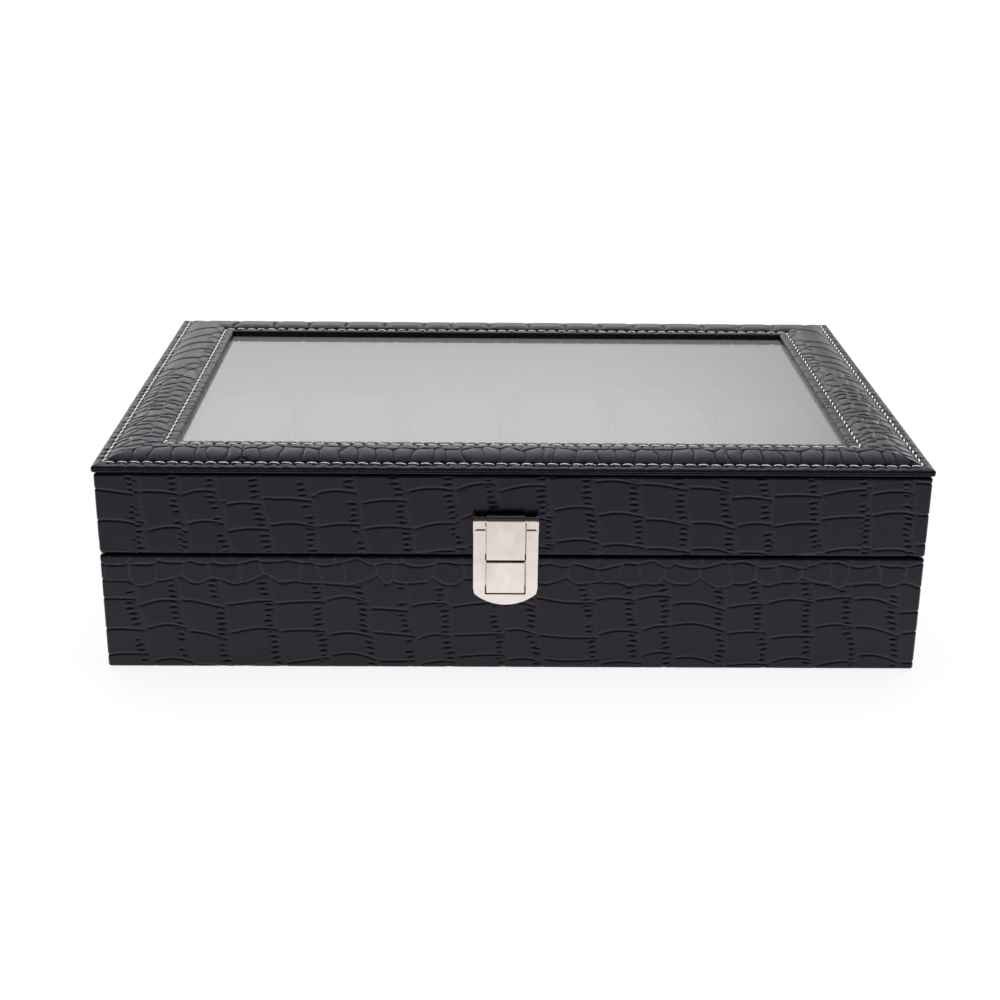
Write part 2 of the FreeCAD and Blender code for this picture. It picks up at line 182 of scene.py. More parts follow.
def drift(x, y, size, seed):
    """Slow wander from about -1 to 1: five sine waves in scattered directions, summed, over 2.5."""
    total = 0
    for wave in range(5):
        angle = 2 * math.pi * chance(seed, wave, 1)
        span = size * (0.7 + 0.8 * chance(seed, wave, 2))
        phase = 2 * math.pi * chance(seed, wave, 3)
        total = total + np.sin(2 * math.pi * (x * np.cos(angle) + y * np.sin(angle)) / span + phase)
    return total / 2.5


def smooth(value, low, high):
    """S-shaped step from 0 at low to 1 at high."""
    t = np.clip((value - low) / (high - low), 0, 1)
    return t * t * (3 - 2 * t)


def carry_along_side(offset, height, half_length, radius, step, ends=None):
    """A section carried along one side of a rectangle and into half of both rounded corners.

    Columns of equal steps fill the straight run. In a corner a point nearer the face than the
    radius turns by 45 degrees about the corner's centre. A deeper one slides to the mitre line,
    which lies as far from the end of the side as the ends say, or else as the offset. Returns
    along, offset, height, the turn in radians with its sign, and the developed run, as grids of
    columns by section points.
    """
    slide = 0.5
    corner = np.ones(CORNER_STEPS)
    turning = np.linspace(0, 1, CORNER_STEPS + 1)[1:]
    count = round(2 * (half_length - radius) / step)
    place = np.concatenate([-corner, np.linspace(-1, 1, count + 1), corner])[:, None]
    turn = np.concatenate([turning[::-1], np.zeros(count + 1), turning])[:, None]
    side = np.sign(place) * (turn > 0)
    angle = turn * math.pi / 4
    ends = offset if ends is None else ends
    deep = np.minimum(offset / radius, 1)
    short = np.maximum(radius - offset, 0)
    start = half_length - np.maximum(ends, radius) - slide * deep
    along = place * start + side * (slide * deep * turn + short * np.sin(angle))
    inward = np.where(offset < radius, radius - short * np.cos(angle), offset)
    run = place * (half_length - radius) + side * radius * angle
    grids = np.broadcast_arrays(along, inward, height + 0 * along, side * angle, run + 0 * along)
    return [np.array(grid) for grid in grids]


def press(grids, depth, normals):
    """Along, offset and height of points pushed in by a depth against the section's normals.

    The level part of a normal turns with the corner.
    """
    along, inward, level, turn = grids[:4]
    along = along + depth * normals[0] * np.sin(turn)
    inward = inward - depth * normals[0] * np.cos(turn)
    return along, inward, level - depth * normals[1]


def plan(side, along, offset, half_x, half_y):
    """X and Y of points given along a side and inwards from its face, seen from above."""
    return {
        "front": (along, offset - half_y),
        "right": (half_x - offset, along),
        "back": (-along, half_y - offset),
        "left": (offset - half_x, -along),
    }[side]


def section_normals(offset, height):
    """Outward unit normals of a closed section that runs up its face and in over its top."""
    d_offset = np.roll(offset, -1) - np.roll(offset, 1)
    d_height = np.roll(height, -1) - np.roll(height, 1)
    size = np.hypot(d_offset, d_height)
    return -d_height / size, d_offset / size


def grid_mesh(name, points, attributes=None, ring=False):
    """Mesh of a tube: a grid of columns by section points in millimetres.

    The section closes on itself. A ring closes on itself along the columns too; otherwise a flat
    face closes each end. The faces are turned round where the signed volume, a sixth of the sum
    of the triple products, is negative.
    """
    columns, around = points.shape[:2]
    index = np.arange(columns * around).reshape(columns, around)
    if ring:
        index = np.concatenate([index, index[:1]])
    after = np.roll(index, -1, axis=1)
    quads = np.stack([index[:-1], after[:-1], after[1:], index[1:]], axis=-1).reshape(-1, 4)
    flat = points.reshape(-1, 3)
    a, b, c, d = (flat[quads[:, k]] for k in range(4))
    volume = np.einsum("ij,ij->", a, np.cross(b, c)) + np.einsum("ij,ij->", a, np.cross(c, d))
    caps = [] if ring else [index[0][::-1], index[-1]]
    if volume < 0:
        quads = quads[:, ::-1]
        caps = [cap[::-1] for cap in caps]
    corners = np.concatenate([quads.ravel(), *caps])
    starts = np.concatenate([np.arange(len(quads)) * 4, len(quads) * 4 + np.arange(len(caps)) * around])
    mesh = bpy.data.meshes.new(name)
    mesh.vertices.add(len(flat))
    mesh.vertices.foreach_set("co", (flat * MM).astype(np.float32).ravel())
    mesh.loops.add(len(corners))
    mesh.loops.foreach_set("vertex_index", corners.astype(np.int32))
    mesh.polygons.add(len(starts))
    mesh.polygons.foreach_set("loop_start", starts.astype(np.int32))
    mesh.update(calc_edges=True)
    mesh.polygons.foreach_set("use_smooth", np.ones(len(starts), bool))
    mesh.set_sharp_from_angle(angle=SHARP_EDGE)
    for key, values in (attributes or {}).items():
        layer = mesh.attributes.new(key, "FLOAT", "POINT")
        layer.data.foreach_set("value", values.astype(np.float32).ravel())
    return mesh


def add_piece(name, mesh, body, slot, finish, *nodes):
    """Object for a mesh, riding a body, with its finish, in place of the named nodes."""
    piece = bpy.data.objects.new(name, mesh)
    bpy.context.scene.collection.objects.link(piece)
    mesh.materials.clear()
    mesh.materials.append(finish)
    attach(piece, body)
    if nodes:
        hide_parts(*nodes)
    return piece


# Emboss

# Where the chances of each pattern start
SEEDS = {"base": 11, "lid": 23, "left": 51, "right": 57, "front": 61, "back": 61}

# Millimetres: half widths of lines and of the frame's soft dips, a scale's rounded corners, and the
# place and half width of the painted highlight on the lip above a line
WALL_LINE, FRAME_LINE, FRAME_DIP = 0.38, 0.42, 2.0
SCALE_ROUNDING = 1.5
LIP_HIGHLIGHT, LIP_HIGHLIGHT_WIDTH = 0.5, 0.28

# Slits beside a column: distance from its edge, half length and half height, and depth over a line's
SLIT_PLACE, SLIT_REACH, SLIT_HALF = 2.7, 1.85, 0.52
SLIT_DEPTH = 1.3

# Rows of small scales under the base's rim and the first large ones: drop, pitch and half sizes
SMALL_ROWS = ((1.0, 9.0, (4.8, 2.2)), (6.6, 9.8, (5.2, 3.6)), (17.0, 14.0, (8.0, 6.6)))

# Columns of scales on the frame's sides, in their front and back halves: inset, half width, and scales
# to a step
STRIP_COLUMNS = (
    ((1.4, 2.4, 1), (7.2, 3.3, 1), (12.8, 3.1, 1), (18.2, 3.0, 1), (23.8, 3.0, 1)),
    ((1.4, 2.4, 2), (11.2, 8.6, 1), (21.4, 2.6, 2), (25.6, 2.0, 1)),
)

# Rows of scales on the frame's front and back: inset, pitch, half sizes and spread
FRAME_SCALES = {
    "front": (
        (1.2, 5.4, (2.7, 2.2), 0.7),
        (9.8, 6.7, (3.2, 6.2), 0.8),
        (18.6, 5.6, (3.0, 3.0), 0.8),
        (25.0, 5.2, (2.7, 2.2), 0.7),
    ),
    "back": (
        (1.2, 9.0, (4.5, 2.2), 0.6),
        (12.5, 16.4, (8.0, 9.0), 0.4),
        (25.2, 9.0, (4.5, 2.2), 0.6),
    ),
}


def nearest_lines(value, lines):
    """Distances down to the nearest line below and up to the nearest above, and their numbers.

    Lines is a list of pairs: a number and the line's place, both arrays like value.
    """
    below = np.full(value.shape, 1e6)
    above = np.full(value.shape, 1e6)
    below_number = np.zeros(value.shape)
    above_number = np.zeros(value.shape)
    for number, place in lines:
        gap = value - place
        lower = (gap >= 0) & (gap < below)
        upper = (gap < 0) & (-gap < above)
        below = np.where(lower, gap, below)
        below_number = np.where(lower, number, below_number)
        above = np.where(upper, -gap, above)
        above_number = np.where(upper, number, above_number)
    return below, above, below_number, above_number


def scale_edge(across, upright, rounding, width):
    """Share of full depth in the groove round a scale, and how level that groove runs.

    Inside a rounded rectangle the distance to its edge is the rounding less the length of what
    the two side distances lack of it. The groove is a bell curve of that distance.
    """
    lack_x = np.maximum(rounding - across, 0)
    lack_y = np.maximum(rounding - upright, 0)
    inside = rounding - np.hypot(lack_x, lack_y)
    level = lack_y / (lack_x + lack_y + 1e-6)
    return np.exp(-((np.maximum(inside, 0) / width) ** 2)), level


def large_scales(run, height, ceiling, settings, seed):
    """Depth of the columns of large scales with slits beside each column, and the painted highlights.

    Columns lean and wander; rows hang below the ceiling line, bowed and tilted in each column.
    Beside the right edge of a column is a ladder of lens-shaped slits. Painted highlights are bell
    curves of the distance to a column's edge and to a lip just above each line and each slit.
    """
    column, row, groove, tick = in_mm(settings, "column", "row", "groove", "tick")
    first = np.floor(run / column)
    drop = ceiling - height

    def upright(number):
        lean = 0.1 + 0.11 * (chance(number, seed, 1) - 0.3)
        sway = 0.5 * np.sin(drop * (0.28 + 0.2 * chance(number, seed, 2)) + 6 * chance(number, seed, 3))
        return column * (number + 0.32 * (chance(number, seed) - 0.5)) + lean * (drop - 15) + sway

    left, right, which, after = nearest_lines(
        run, [(first + k, upright(first + k)) for k in (-1, 0, 1, 2)]
    )
    across = left / (left + right)

    def level(number):
        free = number > 0
        bow = (0.3 + 1.1 * chance(number, which, seed, 4)) * np.sin(math.pi * across)
        tilt = 2.4 * (chance(number, which, seed, 5) - 0.5) * (across - 0.5)
        shift = row * 0.34 * (chance(number, which, seed, 6) - 0.5)
        return row * number + free * (shift - bow + tilt)

    near = np.floor(drop / row)
    above, below, _, _ = nearest_lines(drop, [(near + k, level(near + k)) for k in (-1, 0, 1, 2)])
    side = np.minimum(left, right)
    end = np.minimum(above, below)
    line, share = scale_edge(side, end, SCALE_ROUNDING, WALL_LINE)
    depth = line * groove * (0.62 + 0.38 * share)

    step = drop / tick + chance(after, seed, 7)
    rung = np.floor(step)
    middle = SLIT_PLACE + 0.8 * (chance(rung, after, seed, 8) - 0.5)
    reach = SLIT_REACH * (0.65 + 0.55 * chance(rung, after, seed, 9))
    tilt = 0.3 * (chance(rung, after, seed, 10) - 0.35)
    slit_x = (right - middle) / reach
    slit_y = ((step - rung - 0.5) * tick - tilt * (right - middle)) / SLIT_HALF
    lens = np.clip(1 - slit_x**2 - slit_y**2, 0, 1) ** 0.8
    kept = (chance(rung, after, seed, 11) > 0.07) * smooth(end, 0.5, 1.2)
    lens = lens * kept
    # Painted highlights along a column's edges, on the lip above each line and above each slit
    painted_highlight = 0.4 * np.exp(-((side / 0.45) ** 2))
    lip_highlight = np.exp(-(((below - LIP_HIGHLIGHT) / LIP_HIGHLIGHT_WIDTH) ** 2)) * smooth(side, 0.3, 1.2)
    slit_lip_highlight = 0.7 * np.exp(-(((slit_y + 1.3) / 0.45) ** 2)) * np.clip(1 - slit_x**2, 0, 1) * kept
    # All the painted highlights together, none inside a slit
    pale = np.maximum(painted_highlight, np.maximum(lip_highlight, slit_lip_highlight)) * (1 - lens)
    return np.maximum(depth, lens * groove * SLIT_DEPTH), pale


def scale_cells(x, y, seeds):
    """Distance to the edges of scales that grow from seeds, how those edges face, and the two scales.

    A seed is a centre and two half sizes, and each point belongs to the seed whose stretched
    distance is least. The distance to an edge is the difference of the two least stretched
    distances over the length of that difference's gradient. The facing is that gradient's share
    along Y: 1 where the next scale lies straight on at higher Y, -1 at lower Y.
    """
    px, py = x.ravel(), y.ravel()
    reach = 20
    near = (seeds[:, 0] > px.min() - reach) & (seeds[:, 0] < px.max() + reach)
    near &= (seeds[:, 1] > py.min() - reach) & (seeds[:, 1] < py.max() + reach)
    order = np.flatnonzero(near)
    cx, cy, sx, sy = seeds[near].T
    far = np.hypot((px[:, None] - cx) / sx, (py[:, None] - cy) / sy)
    rows = np.arange(len(px))
    best = []
    for _ in range(2):
        pick = far.argmin(axis=1)
        gap = far[rows, pick].copy()
        far[rows, pick] = np.inf
        slope_x = (px - cx[pick]) / sx[pick] ** 2 / (gap + 1e-6)
        slope_y = (py - cy[pick]) / sy[pick] ** 2 / (gap + 1e-6)
        best.append((gap, slope_x, slope_y, order[pick]))
    (first, ax, ay, own), (second, bx, by, other) = best
    rise, lean = ay - by, ax - bx
    edge = (second - first) / (np.hypot(rise, lean) + 1e-6)
    facing = rise / (np.abs(rise) + np.abs(lean) + 1e-6)
    return [value.reshape(x.shape) for value in (edge, facing, own, other)]


def seed_row(start, end, y, pitch, half, spread, seed):
    """Seeds at even steps along a line, each shifted and made wider or narrower by chance."""
    number = np.arange(math.floor(start / pitch) - 1, math.ceil(end / pitch) + 2)
    x = pitch * (number + spread * (chance(number, seed, 1) - 0.5))
    shift = 0.5 * spread * half[1] * (chance(number, seed, 2) - 0.5)
    wide = half[0] * (1 + spread * (chance(number, seed, 3) - 0.5))
    return np.stack([x, y + shift, wide, half[1] + 0 * x], axis=-1)


def small_scales(run, drop, settings, seed):
    """Depth of two rows of small scales under a rim, their painted highlights, and where large scales
    begin.

    Grooves are bell curves of the distance to an edge, shallower where they run upright. Painted
    highlights run along upright edges and on a lip just above level ones.
    """
    rows = [
        seed_row(run.min(), run.max(), level, pitch, half, 0.7, seed + number)
        for number, (level, pitch, half) in enumerate(SMALL_ROWS)
    ]
    wander_x = run + 0.8 * drift(run, drop, 11, seed + 5)
    wander_y = drop + 0.9 * drift(run, drop, 17, seed)
    edge, facing, own, other = scale_cells(wander_x, wander_y, np.concatenate(rows))
    last = len(rows[0]) + len(rows[1])
    shown = np.minimum(own, other) < last
    level = np.abs(facing)
    line = np.exp(-((edge / WALL_LINE) ** 2)) * shown
    # Painted highlight on the lip above each level edge, and along upright edges
    lip_highlight = np.exp(-(((edge - LIP_HIGHLIGHT) / LIP_HIGHLIGHT_WIDTH) ** 2)) * np.clip(facing, 0, 1) * shown
    depth = settings.groove / MM * line * (0.5 + 0.5 * level)
    return depth, np.maximum(0.8 * line * (1 - level), lip_highlight), own >= last


def wall_emboss(run, height, top, small_rows, settings, seed):
    """Depth and painted highlights of the emboss on a wall. A base wall has small scales under its rim.

    The ceiling of the large scales lies 3 mm above the lid's top and wanders by 4, with a step from
    column to column. On the base it lies 7.5 mm below the rim and wanders by 1.4.
    """
    if not small_rows:
        ceiling = top + 3.0 + 4.0 * drift(run, 0, 120, seed)
        first = np.floor(run / (settings.column / MM))
        return large_scales(run, height, ceiling + 3 * chance(first, seed), settings, seed)
    ceiling = top - 7.5 + 1.4 * drift(run, 0, 38, seed + 2)
    large = large_scales(run, height, ceiling, settings, seed)
    *small, open_to_large = small_scales(run, top - height, settings, seed + 3)
    return [np.maximum(below * open_to_large, above) for below, above in zip(large, small)]


def lines_and_dips(edge):
    """Share of full depth in the line between scales and in the soft dip round it, as bell curves."""
    return np.exp(-((edge / FRAME_LINE) ** 2)), np.exp(-((edge / FRAME_DIP) ** 2))


def frame_emboss(along, inset, half, layout, seed):
    """Lines and dips of the emboss on the front or back of the frame, from rows of scales.

    The scales grow from the layout's rows, bent by two slow wanders.
    """
    rows = [
        seed_row(-half, half, level, pitch, size, spread, seed + number)
        for number, (level, pitch, size, spread) in enumerate(layout)
    ]
    x = along + 0.7 * drift(along, inset, 15, 41)
    y = inset + 0.9 * drift(along, inset, 19, 43)
    return lines_and_dips(scale_cells(x, y, np.concatenate(rows))[0])


def strip_emboss(y, inset, half, rows, seed):
    """Lines and dips of the emboss on a side of the frame.

    From the front to the middle there are staggered columns of small lens-shaped scales under
    arched lines. Then they give way to wide scales, further and further apart, whose edges leave
    the outer row slanting to the back and level off towards the window.
    """
    arch_rise, slant_run, wander = 2.2, 9.0, 1.5
    small_step, growth = 5.8, 10.7
    before, beyond = 12.0, 4.0
    back = smooth(y / half, -0.15, 0.3)
    across = np.clip((inset - rows[0]) / (rows[1] - rows[0]), -0.3, 1.3)
    arch = arch_rise * np.sin(math.pi * np.clip(across, 0, 1))
    slant = slant_run * (1 - (1 - across) ** 2)
    bent = y - arch * (1 - back) - slant * back + wander * drift(y, inset, 17, seed)
    seeds = []
    place = -half - before
    number = 0
    while place < half + beyond:
        step = small_step + growth * float(smooth(place / half, -0.15, 0.6))
        columns = STRIP_COLUMNS[int(place > 0.05 * half)]
        for column, (middle, wide, count) in enumerate(columns):
            part = np.arange(count)
            deep = step / count
            shift = 0.5 * (column % 2) + 0.75 * (chance(part, number, column, seed) - 0.5)
            away = middle + 0.8 * wide * (chance(part, number, column, seed + 1) - 0.5)
            cell = [away, place + deep * (part + shift), wide + 0 * away, 0.55 * deep + 0 * away]
            seeds.append(np.stack(cell, axis=-1))
        place += step
        number += 1
    x = inset + 0.8 * drift(y, inset, 13, seed + 2)
    edge, facing, _, _ = scale_cells(x, bent, np.concatenate(seeds))
    line, dip = lines_and_dips(edge)
    margin = 1 - 0.55 * smooth(inset, rows[1] - 5, rows[1] + 1)
    return line * margin * (0.45 + 0.55 * np.abs(facing)), dip * margin


# Materials

# Sockets of a Map Range node: what it follows, the ends of its run and the values there
SLOPE = ("Value", "From Min", "From Max", "To Min", "To Max")


def add(tree, kind, inputs=None, **settings):
    """Outputs of a new node with its settings; inputs give each socket a value or a link."""
    node = tree.nodes.new("ShaderNode" + kind)
    for key, value in settings.items():
        setattr(node, key, value)
    for key, value in (inputs or {}).items():
        if isinstance(value, bpy.types.NodeSocket):
            tree.links.new(value, node.inputs[key])
        else:
            node.inputs[key].default_value = value
    return node.outputs


def new_material(name):
    """Empty material and its node tree."""
    made = bpy.data.materials.new(name)
    made.use_nodes = True
    made.node_tree.nodes.clear()
    return made, made.node_tree


def per_mm(size):
    """Texture scale at which a feature is about this many millimetres across.

    Real pores, nap, flock, pulp and polishing marks are finer than the render shows, so they are
    drawn coarser, at 0.5 to 1.2 mm.
    """
    return 1 / (size * MM)


def opaque(colour, level=1.0):
    """A colour with full alpha, darker or lighter by a level."""
    return (*np.minimum(np.array(colour) * level, 1), 1.0)


def embossed_leather(settings):
    """Polyurethane leather pressed on a hot plate: a tight, glossy black skin over soft backing.

    The eye gets a clear sheen on the scales, a duller bottom to each groove and fine pores. Its colour also
    carries painted shade in the grooves and painted highlights beside the lines.
    """
    made, tree = new_material("embossed polyurethane leather")
    place = add(tree, "TexCoord")["Object"]
    cloud = add(tree, "TexNoise", {"Vector": place, "Scale": per_mm(14), "Detail": 3.0})["Fac"]
    groove, painted_highlight, matt = (
        add(tree, "Attribute", attribute_name=name)["Fac"] for name in ("groove", "painted_highlight", "matt")
    )
    tone = opaque(settings.colour)
    # Painted shade in the grooves, then painted highlights beside the lines and slits
    layers = (
        (cloud, opaque(settings.colour, 1.5)),
        (groove, opaque(settings.groove_shade_colour)),
        (painted_highlight, opaque(settings.painted_highlight_colour)),
    )
    for share, colour in layers:
        tone = add(tree, "Mix", {"Factor": share, 6: tone, 7: colour}, data_type="RGBA")[2]
    wear = add(tree, "TexNoise", {"Vector": place, "Scale": per_mm(5), "Detail": 4.0})["Fac"]
    gloss = add(tree, "MapRange", dict(zip(SLOPE, (wear, 0.3, 0.7, 0.24, 0.33))))["Result"]
    pore = add(tree, "TexVoronoi", {"Vector": place, "Scale": per_mm(0.55)})["Distance"]
    bump = {"Height": pore, "Strength": 0.12, "Distance": 0.05 * MM}
    look = {
        "Base Color": tone,
        "Roughness": add(tree, "Mix", {"Factor": matt, 2: gloss, 3: 0.8})[0],
        "IOR": 1.5,
        "Specular IOR Level": 0.75,
        "Specular Tint": (0.44, 0.4, 0.49, 1.0),
        "Normal": add(tree, "Bump", bump)["Normal"],
    }
    add(tree, "OutputMaterial", {"Surface": add(tree, "BsdfPrincipled", look)["BSDF"]})
    return made


def sewing_thread(settings):
    """Bonded polyester thread, two plies twisted: the eye gets a pale sheen with slanted plies."""
    made, tree = new_material("bonded polyester thread")
    place = add(tree, "TexCoord")["Object"]
    # A diagonal wave of this scale repeats every 1.5 mm along a row: coarser than real, so that it shows
    twist = {"Vector": place, "Scale": per_mm(2.4), "Distortion": 0.6}
    ply = add(tree, "TexWave", twist, bands_direction="DIAGONAL")["Fac"]
    tones = {"Factor": ply, 6: opaque(settings.thread, 0.8), 7: opaque(settings.thread)}
    bump = {"Height": ply, "Strength": 0.5, "Distance": 0.1 * MM}
    look = {
        "Base Color": add(tree, "Mix", tones, data_type="RGBA")[2],
        "Roughness": 0.5,
        "Sheen Weight": 0.25,
        "Normal": add(tree, "Bump", bump)["Normal"],
    }
    add(tree, "OutputMaterial", {"Surface": add(tree, "BsdfPrincipled", look)["BSDF"]})
    return made


def velvet(name, colour):
    """Short-pile velvet on board: matt in the face, pale where the pile is seen edge on.

    The pile lies in soft patches, which show as faint clouds, over a fine nap.
    """
    made, tree = new_material(name)
    place = add(tree, "TexCoord")["Object"]
    patch, nap = (
        add(tree, "TexNoise", {"Vector": place, "Scale": per_mm(size), "Detail": 2.0})["Fac"]
        for size in (22, 0.5)
    )
    pile = add(tree, "Math", {0: patch, 1: nap}, operation="ADD")["Value"]
    share = add(tree, "MapRange", {"Value": pile, "From Min": 0.6, "From Max": 1.4})["Result"]
    tones = {"Factor": share, 6: opaque(colour, 0.72), 7: opaque(colour, 1.2)}
    bump = {"Height": nap, "Strength": 0.35, "Distance": 0.2 * MM}
    look = {
        "Base Color": add(tree, "Mix", tones, data_type="RGBA")[2],
        "Roughness": 0.95,
        "Specular IOR Level": 0.2,
        "Sheen Weight": 0.6,
        "Sheen Roughness": 0.35,
        "Normal": add(tree, "Bump", bump)["Normal"],
    }
    add(tree, "OutputMaterial", {"Surface": add(tree, "BsdfPrincipled", look)["BSDF"]})
    return made


def flocked_felt():
    """Flocked base sheet: a dead black with grey fibres standing in it."""
    made, tree = new_material("flocked felt")
    place = add(tree, "TexCoord")["Object"]
    flock = {"Vector": place, "Scale": per_mm(0.7), "Detail": 4.0, "Roughness": 0.7}
    fibre = add(tree, "TexNoise", flock)["Fac"]
    tones = {"Factor": fibre, 6: opaque(linear("#0B0B0C")), 7: opaque(linear("#2B2A2C"))}
    bump = {"Height": fibre, "Strength": 0.6, "Distance": 0.25 * MM}
    look = {
        "Base Color": add(tree, "Mix", tones, data_type="RGBA")[2],
        "Roughness": 1.0,
        "Specular IOR Level": 0.15,
        "Sheen Weight": 0.3,
        "Normal": add(tree, "Bump", bump)["Normal"],
    }
    add(tree, "OutputMaterial", {"Surface": add(tree, "BsdfPrincipled", look)["BSDF"]})
    return made


def fibreboard():
    """Sawn medium-density fibreboard: an even tan with short darker fibres."""
    made, tree = new_material("medium-density fibreboard")
    place = add(tree, "TexCoord")["Object"]
    pulp = {"Vector": place, "Scale": per_mm(0.9), "Detail": 5.0, "Roughness": 0.75}
    fibre = add(tree, "TexNoise", pulp)["Fac"]
    tones = {"Factor": fibre, 6: opaque(linear("#8A6B4C")), 7: opaque(linear("#C2A27C"))}
    look = {"Base Color": add(tree, "Mix", tones, data_type="RGBA")[2], "Roughness": 0.85}
    add(tree, "OutputMaterial", {"Surface": add(tree, "BsdfPrincipled", look)["BSDF"]})
    return made


def bright_nickel(settings):
    """Pressed steel with bright nickel plate: a warm mirror, softened by polishing marks."""
    made, tree = new_material("bright nickel plate")
    place = add(tree, "TexCoord")["Object"]
    marks = add(tree, "TexNoise", {"Vector": place, "Scale": per_mm(1.2), "Detail": 5.0})["Fac"]
    cloud = {"Vector": place, "Scale": per_mm(8), "Detail": 3.0, "Distortion": 0.6}
    cloud = add(tree, "TexNoise", cloud)["Fac"]
    share, dull = (
        add(tree, "MapRange", dict(zip(SLOPE, ends)))["Result"]
        for ends in ((cloud, 0.3, 0.7, 0.0, 1.0), (marks, 0.3, 0.7, 0.12, 0.22))
    )
    warm = np.array(settings.nickel) * (0.88, 0.84, 0.8)
    tones = {"Factor": share, 6: opaque(warm), 7: opaque(settings.nickel)}
    tone = add(tree, "Mix", tones, data_type="RGBA")[2]
    look = {"Base Color": tone, "Metallic": 1.0, "Roughness": dull}
    add(tree, "OutputMaterial", {"Surface": add(tree, "BsdfPrincipled", look)["BSDF"]})
    return made


def float_glass(settings):
    """Float glass with a thin film of dust: a soft mirror at a low angle, clear from above.

    The dust scatters a share of the light, which veils what lies below.
    """
    made, tree = new_material("clear float glass")
    look = {
        "Base Color": opaque(settings.glass),
        "Roughness": 0.045,
        "IOR": 1.5,
        "Transmission Weight": 0.86,
    }
    add(tree, "OutputMaterial", {"Surface": add(tree, "BsdfPrincipled", look)["BSDF"]})
    return made


# Operators

# Leather turned in at the bottom and the top of each case, and its thickness where it is pared
MARGINS = {"base": (10.0, 8.8), "lid": (8.2, 8.2)}
PARED = 0.35

# Rounding of the frame's corners, and its room over the board
FRAME_CORNER, BOARD_ROOM = 1.2, 0.08

# How far the emboss fades at the walls' joint and at a mitre of the frame, and where the frame's dips
# begin to fade and where they end, out from the inner row
JOINT_FADE, MITRE_FADE = 2, 1.2
DIP_FADE, DIP_END = 6, 1

# Steps along a wall, along the frame and across it, over the mesh step
WALL_STEP, FRAME_STEP, SECTION_STEP = 1.9, 1.2, 1.1

# Depth of the frame's lines over the walls', how dark the painted shadow in its back dips is, and how matt
# grooves are
FRAME_DEPTH, BACK_SHADE = 1.45, 0.75
WALL_MATT, FRAME_MATT = 0.13, 0.7


class WATCHBOX_OT_leather_walls(bpy.types.Operator):
    """Embossed leather round the base and the lid, turned in at every edge"""

    bl_idname = "watch_box.leather_walls"
    bl_label = "Leather walls"

    def execute(self, context):
        settings = context.scene.watch_box_leather
        finish = embossed_leather(settings)
        climb = (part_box("lid_front_lining")[0][2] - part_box("lid_wrap")[0][2]) / MM
        self.case("base", finish, settings, 0, True)
        self.case("lid", finish, settings, climb, False)
        return {"FINISHED"}

    def section(self, low, high, turns, settings):
        """Closed section of the leather: bend, face, bend, and the turned-in margins.

        The lower margin is pared thin where it climbs the inside of the wall.
        """
        radius, sheet, step = in_mm(settings, "edge_radius", "thickness", "mesh_step")
        bend = np.linspace(0, math.pi / 2, 5)
        face = np.linspace(low + radius, high - radius, round((high - low - 2 * radius) / step) + 1)
        lower, upper, climb = turns
        pared = lower + PARED
        inner = ([lower, lower, pared, pared], [low + sheet, low + climb, low + climb, low])
        under = inner if climb else ([lower, lower], [low + sheet, low])
        offset = np.concatenate([
            radius - radius * np.cos(bend[:0:-1]),
            0 * face,
            radius - radius * np.cos(bend[1:]),
            [upper, upper, sheet, sheet, *under[0]],
        ])
        height = np.concatenate([
            low + radius - radius * np.sin(bend[:0:-1]),
            face,
            high - radius + radius * np.sin(bend[1:]),
            [high, high - sheet, high - sheet, low + sheet, *under[1]],
        ])
        shown = np.concatenate([
            np.cos(bend[:0:-1]),
            np.ones(len(face)),
            np.cos(bend[1:]),
            np.zeros(4 + len(under[0])),
        ])
        return offset, height, shown

    def case(self, body, finish, settings, climb, small_rows):
        """Four mitred pieces of leather round one case.

        The emboss runs on round three corners and fades out at the joint, in the left back corner.
        """
        low, high = box_mm(f"{body}_wrap")
        radius, step, full_depth = in_mm(settings, "edge_radius", "mesh_step", "groove")
        offset, height, shown = self.section(low[2], high[2], (*MARGINS[body], climb), settings)
        normals = section_normals(offset, height)
        start = 0.0
        for side in SIDES:
            half = high[0] if side in ENDS else high[1]
            grids = carry_along_side(offset, height, half, radius, WALL_STEP * step)
            level, run = grids[2], grids[4]
            span = 2 * (half - radius) + radius * math.pi / 2
            place = run + start + span / 2
            depth, painted_highlight = wall_emboss(place, level, high[2], small_rows, settings, SEEDS[body])
            start += span
            if side in ("left", "back"):
                joint = (run > 0) if side == "back" else (run < 0)
                depth = np.where(joint, depth * smooth(span / 2 - np.abs(run), 0, JOINT_FADE), depth)
            depth = depth * shown
            painted_highlight = painted_highlight * shown
            along, inward, level = press(grids, depth, normals)
            points = np.stack([*plan(side, along, inward, high[0], high[1]), level], axis=-1)
            # The groove attribute paints shade into each groove and also makes it matt; the painted
            # highlight attribute paints light beside it
            groove = np.clip(depth / full_depth, 0, 1) * (1 - painted_highlight)
            looks = {"groove": groove, "painted_highlight": painted_highlight, "matt": WALL_MATT * groove}
            mesh = grid_mesh(f"{body}_leather_{side}", points, looks)
            add_piece(mesh.name, mesh, body, "embossed_leather", finish, f"{body}_wrap")


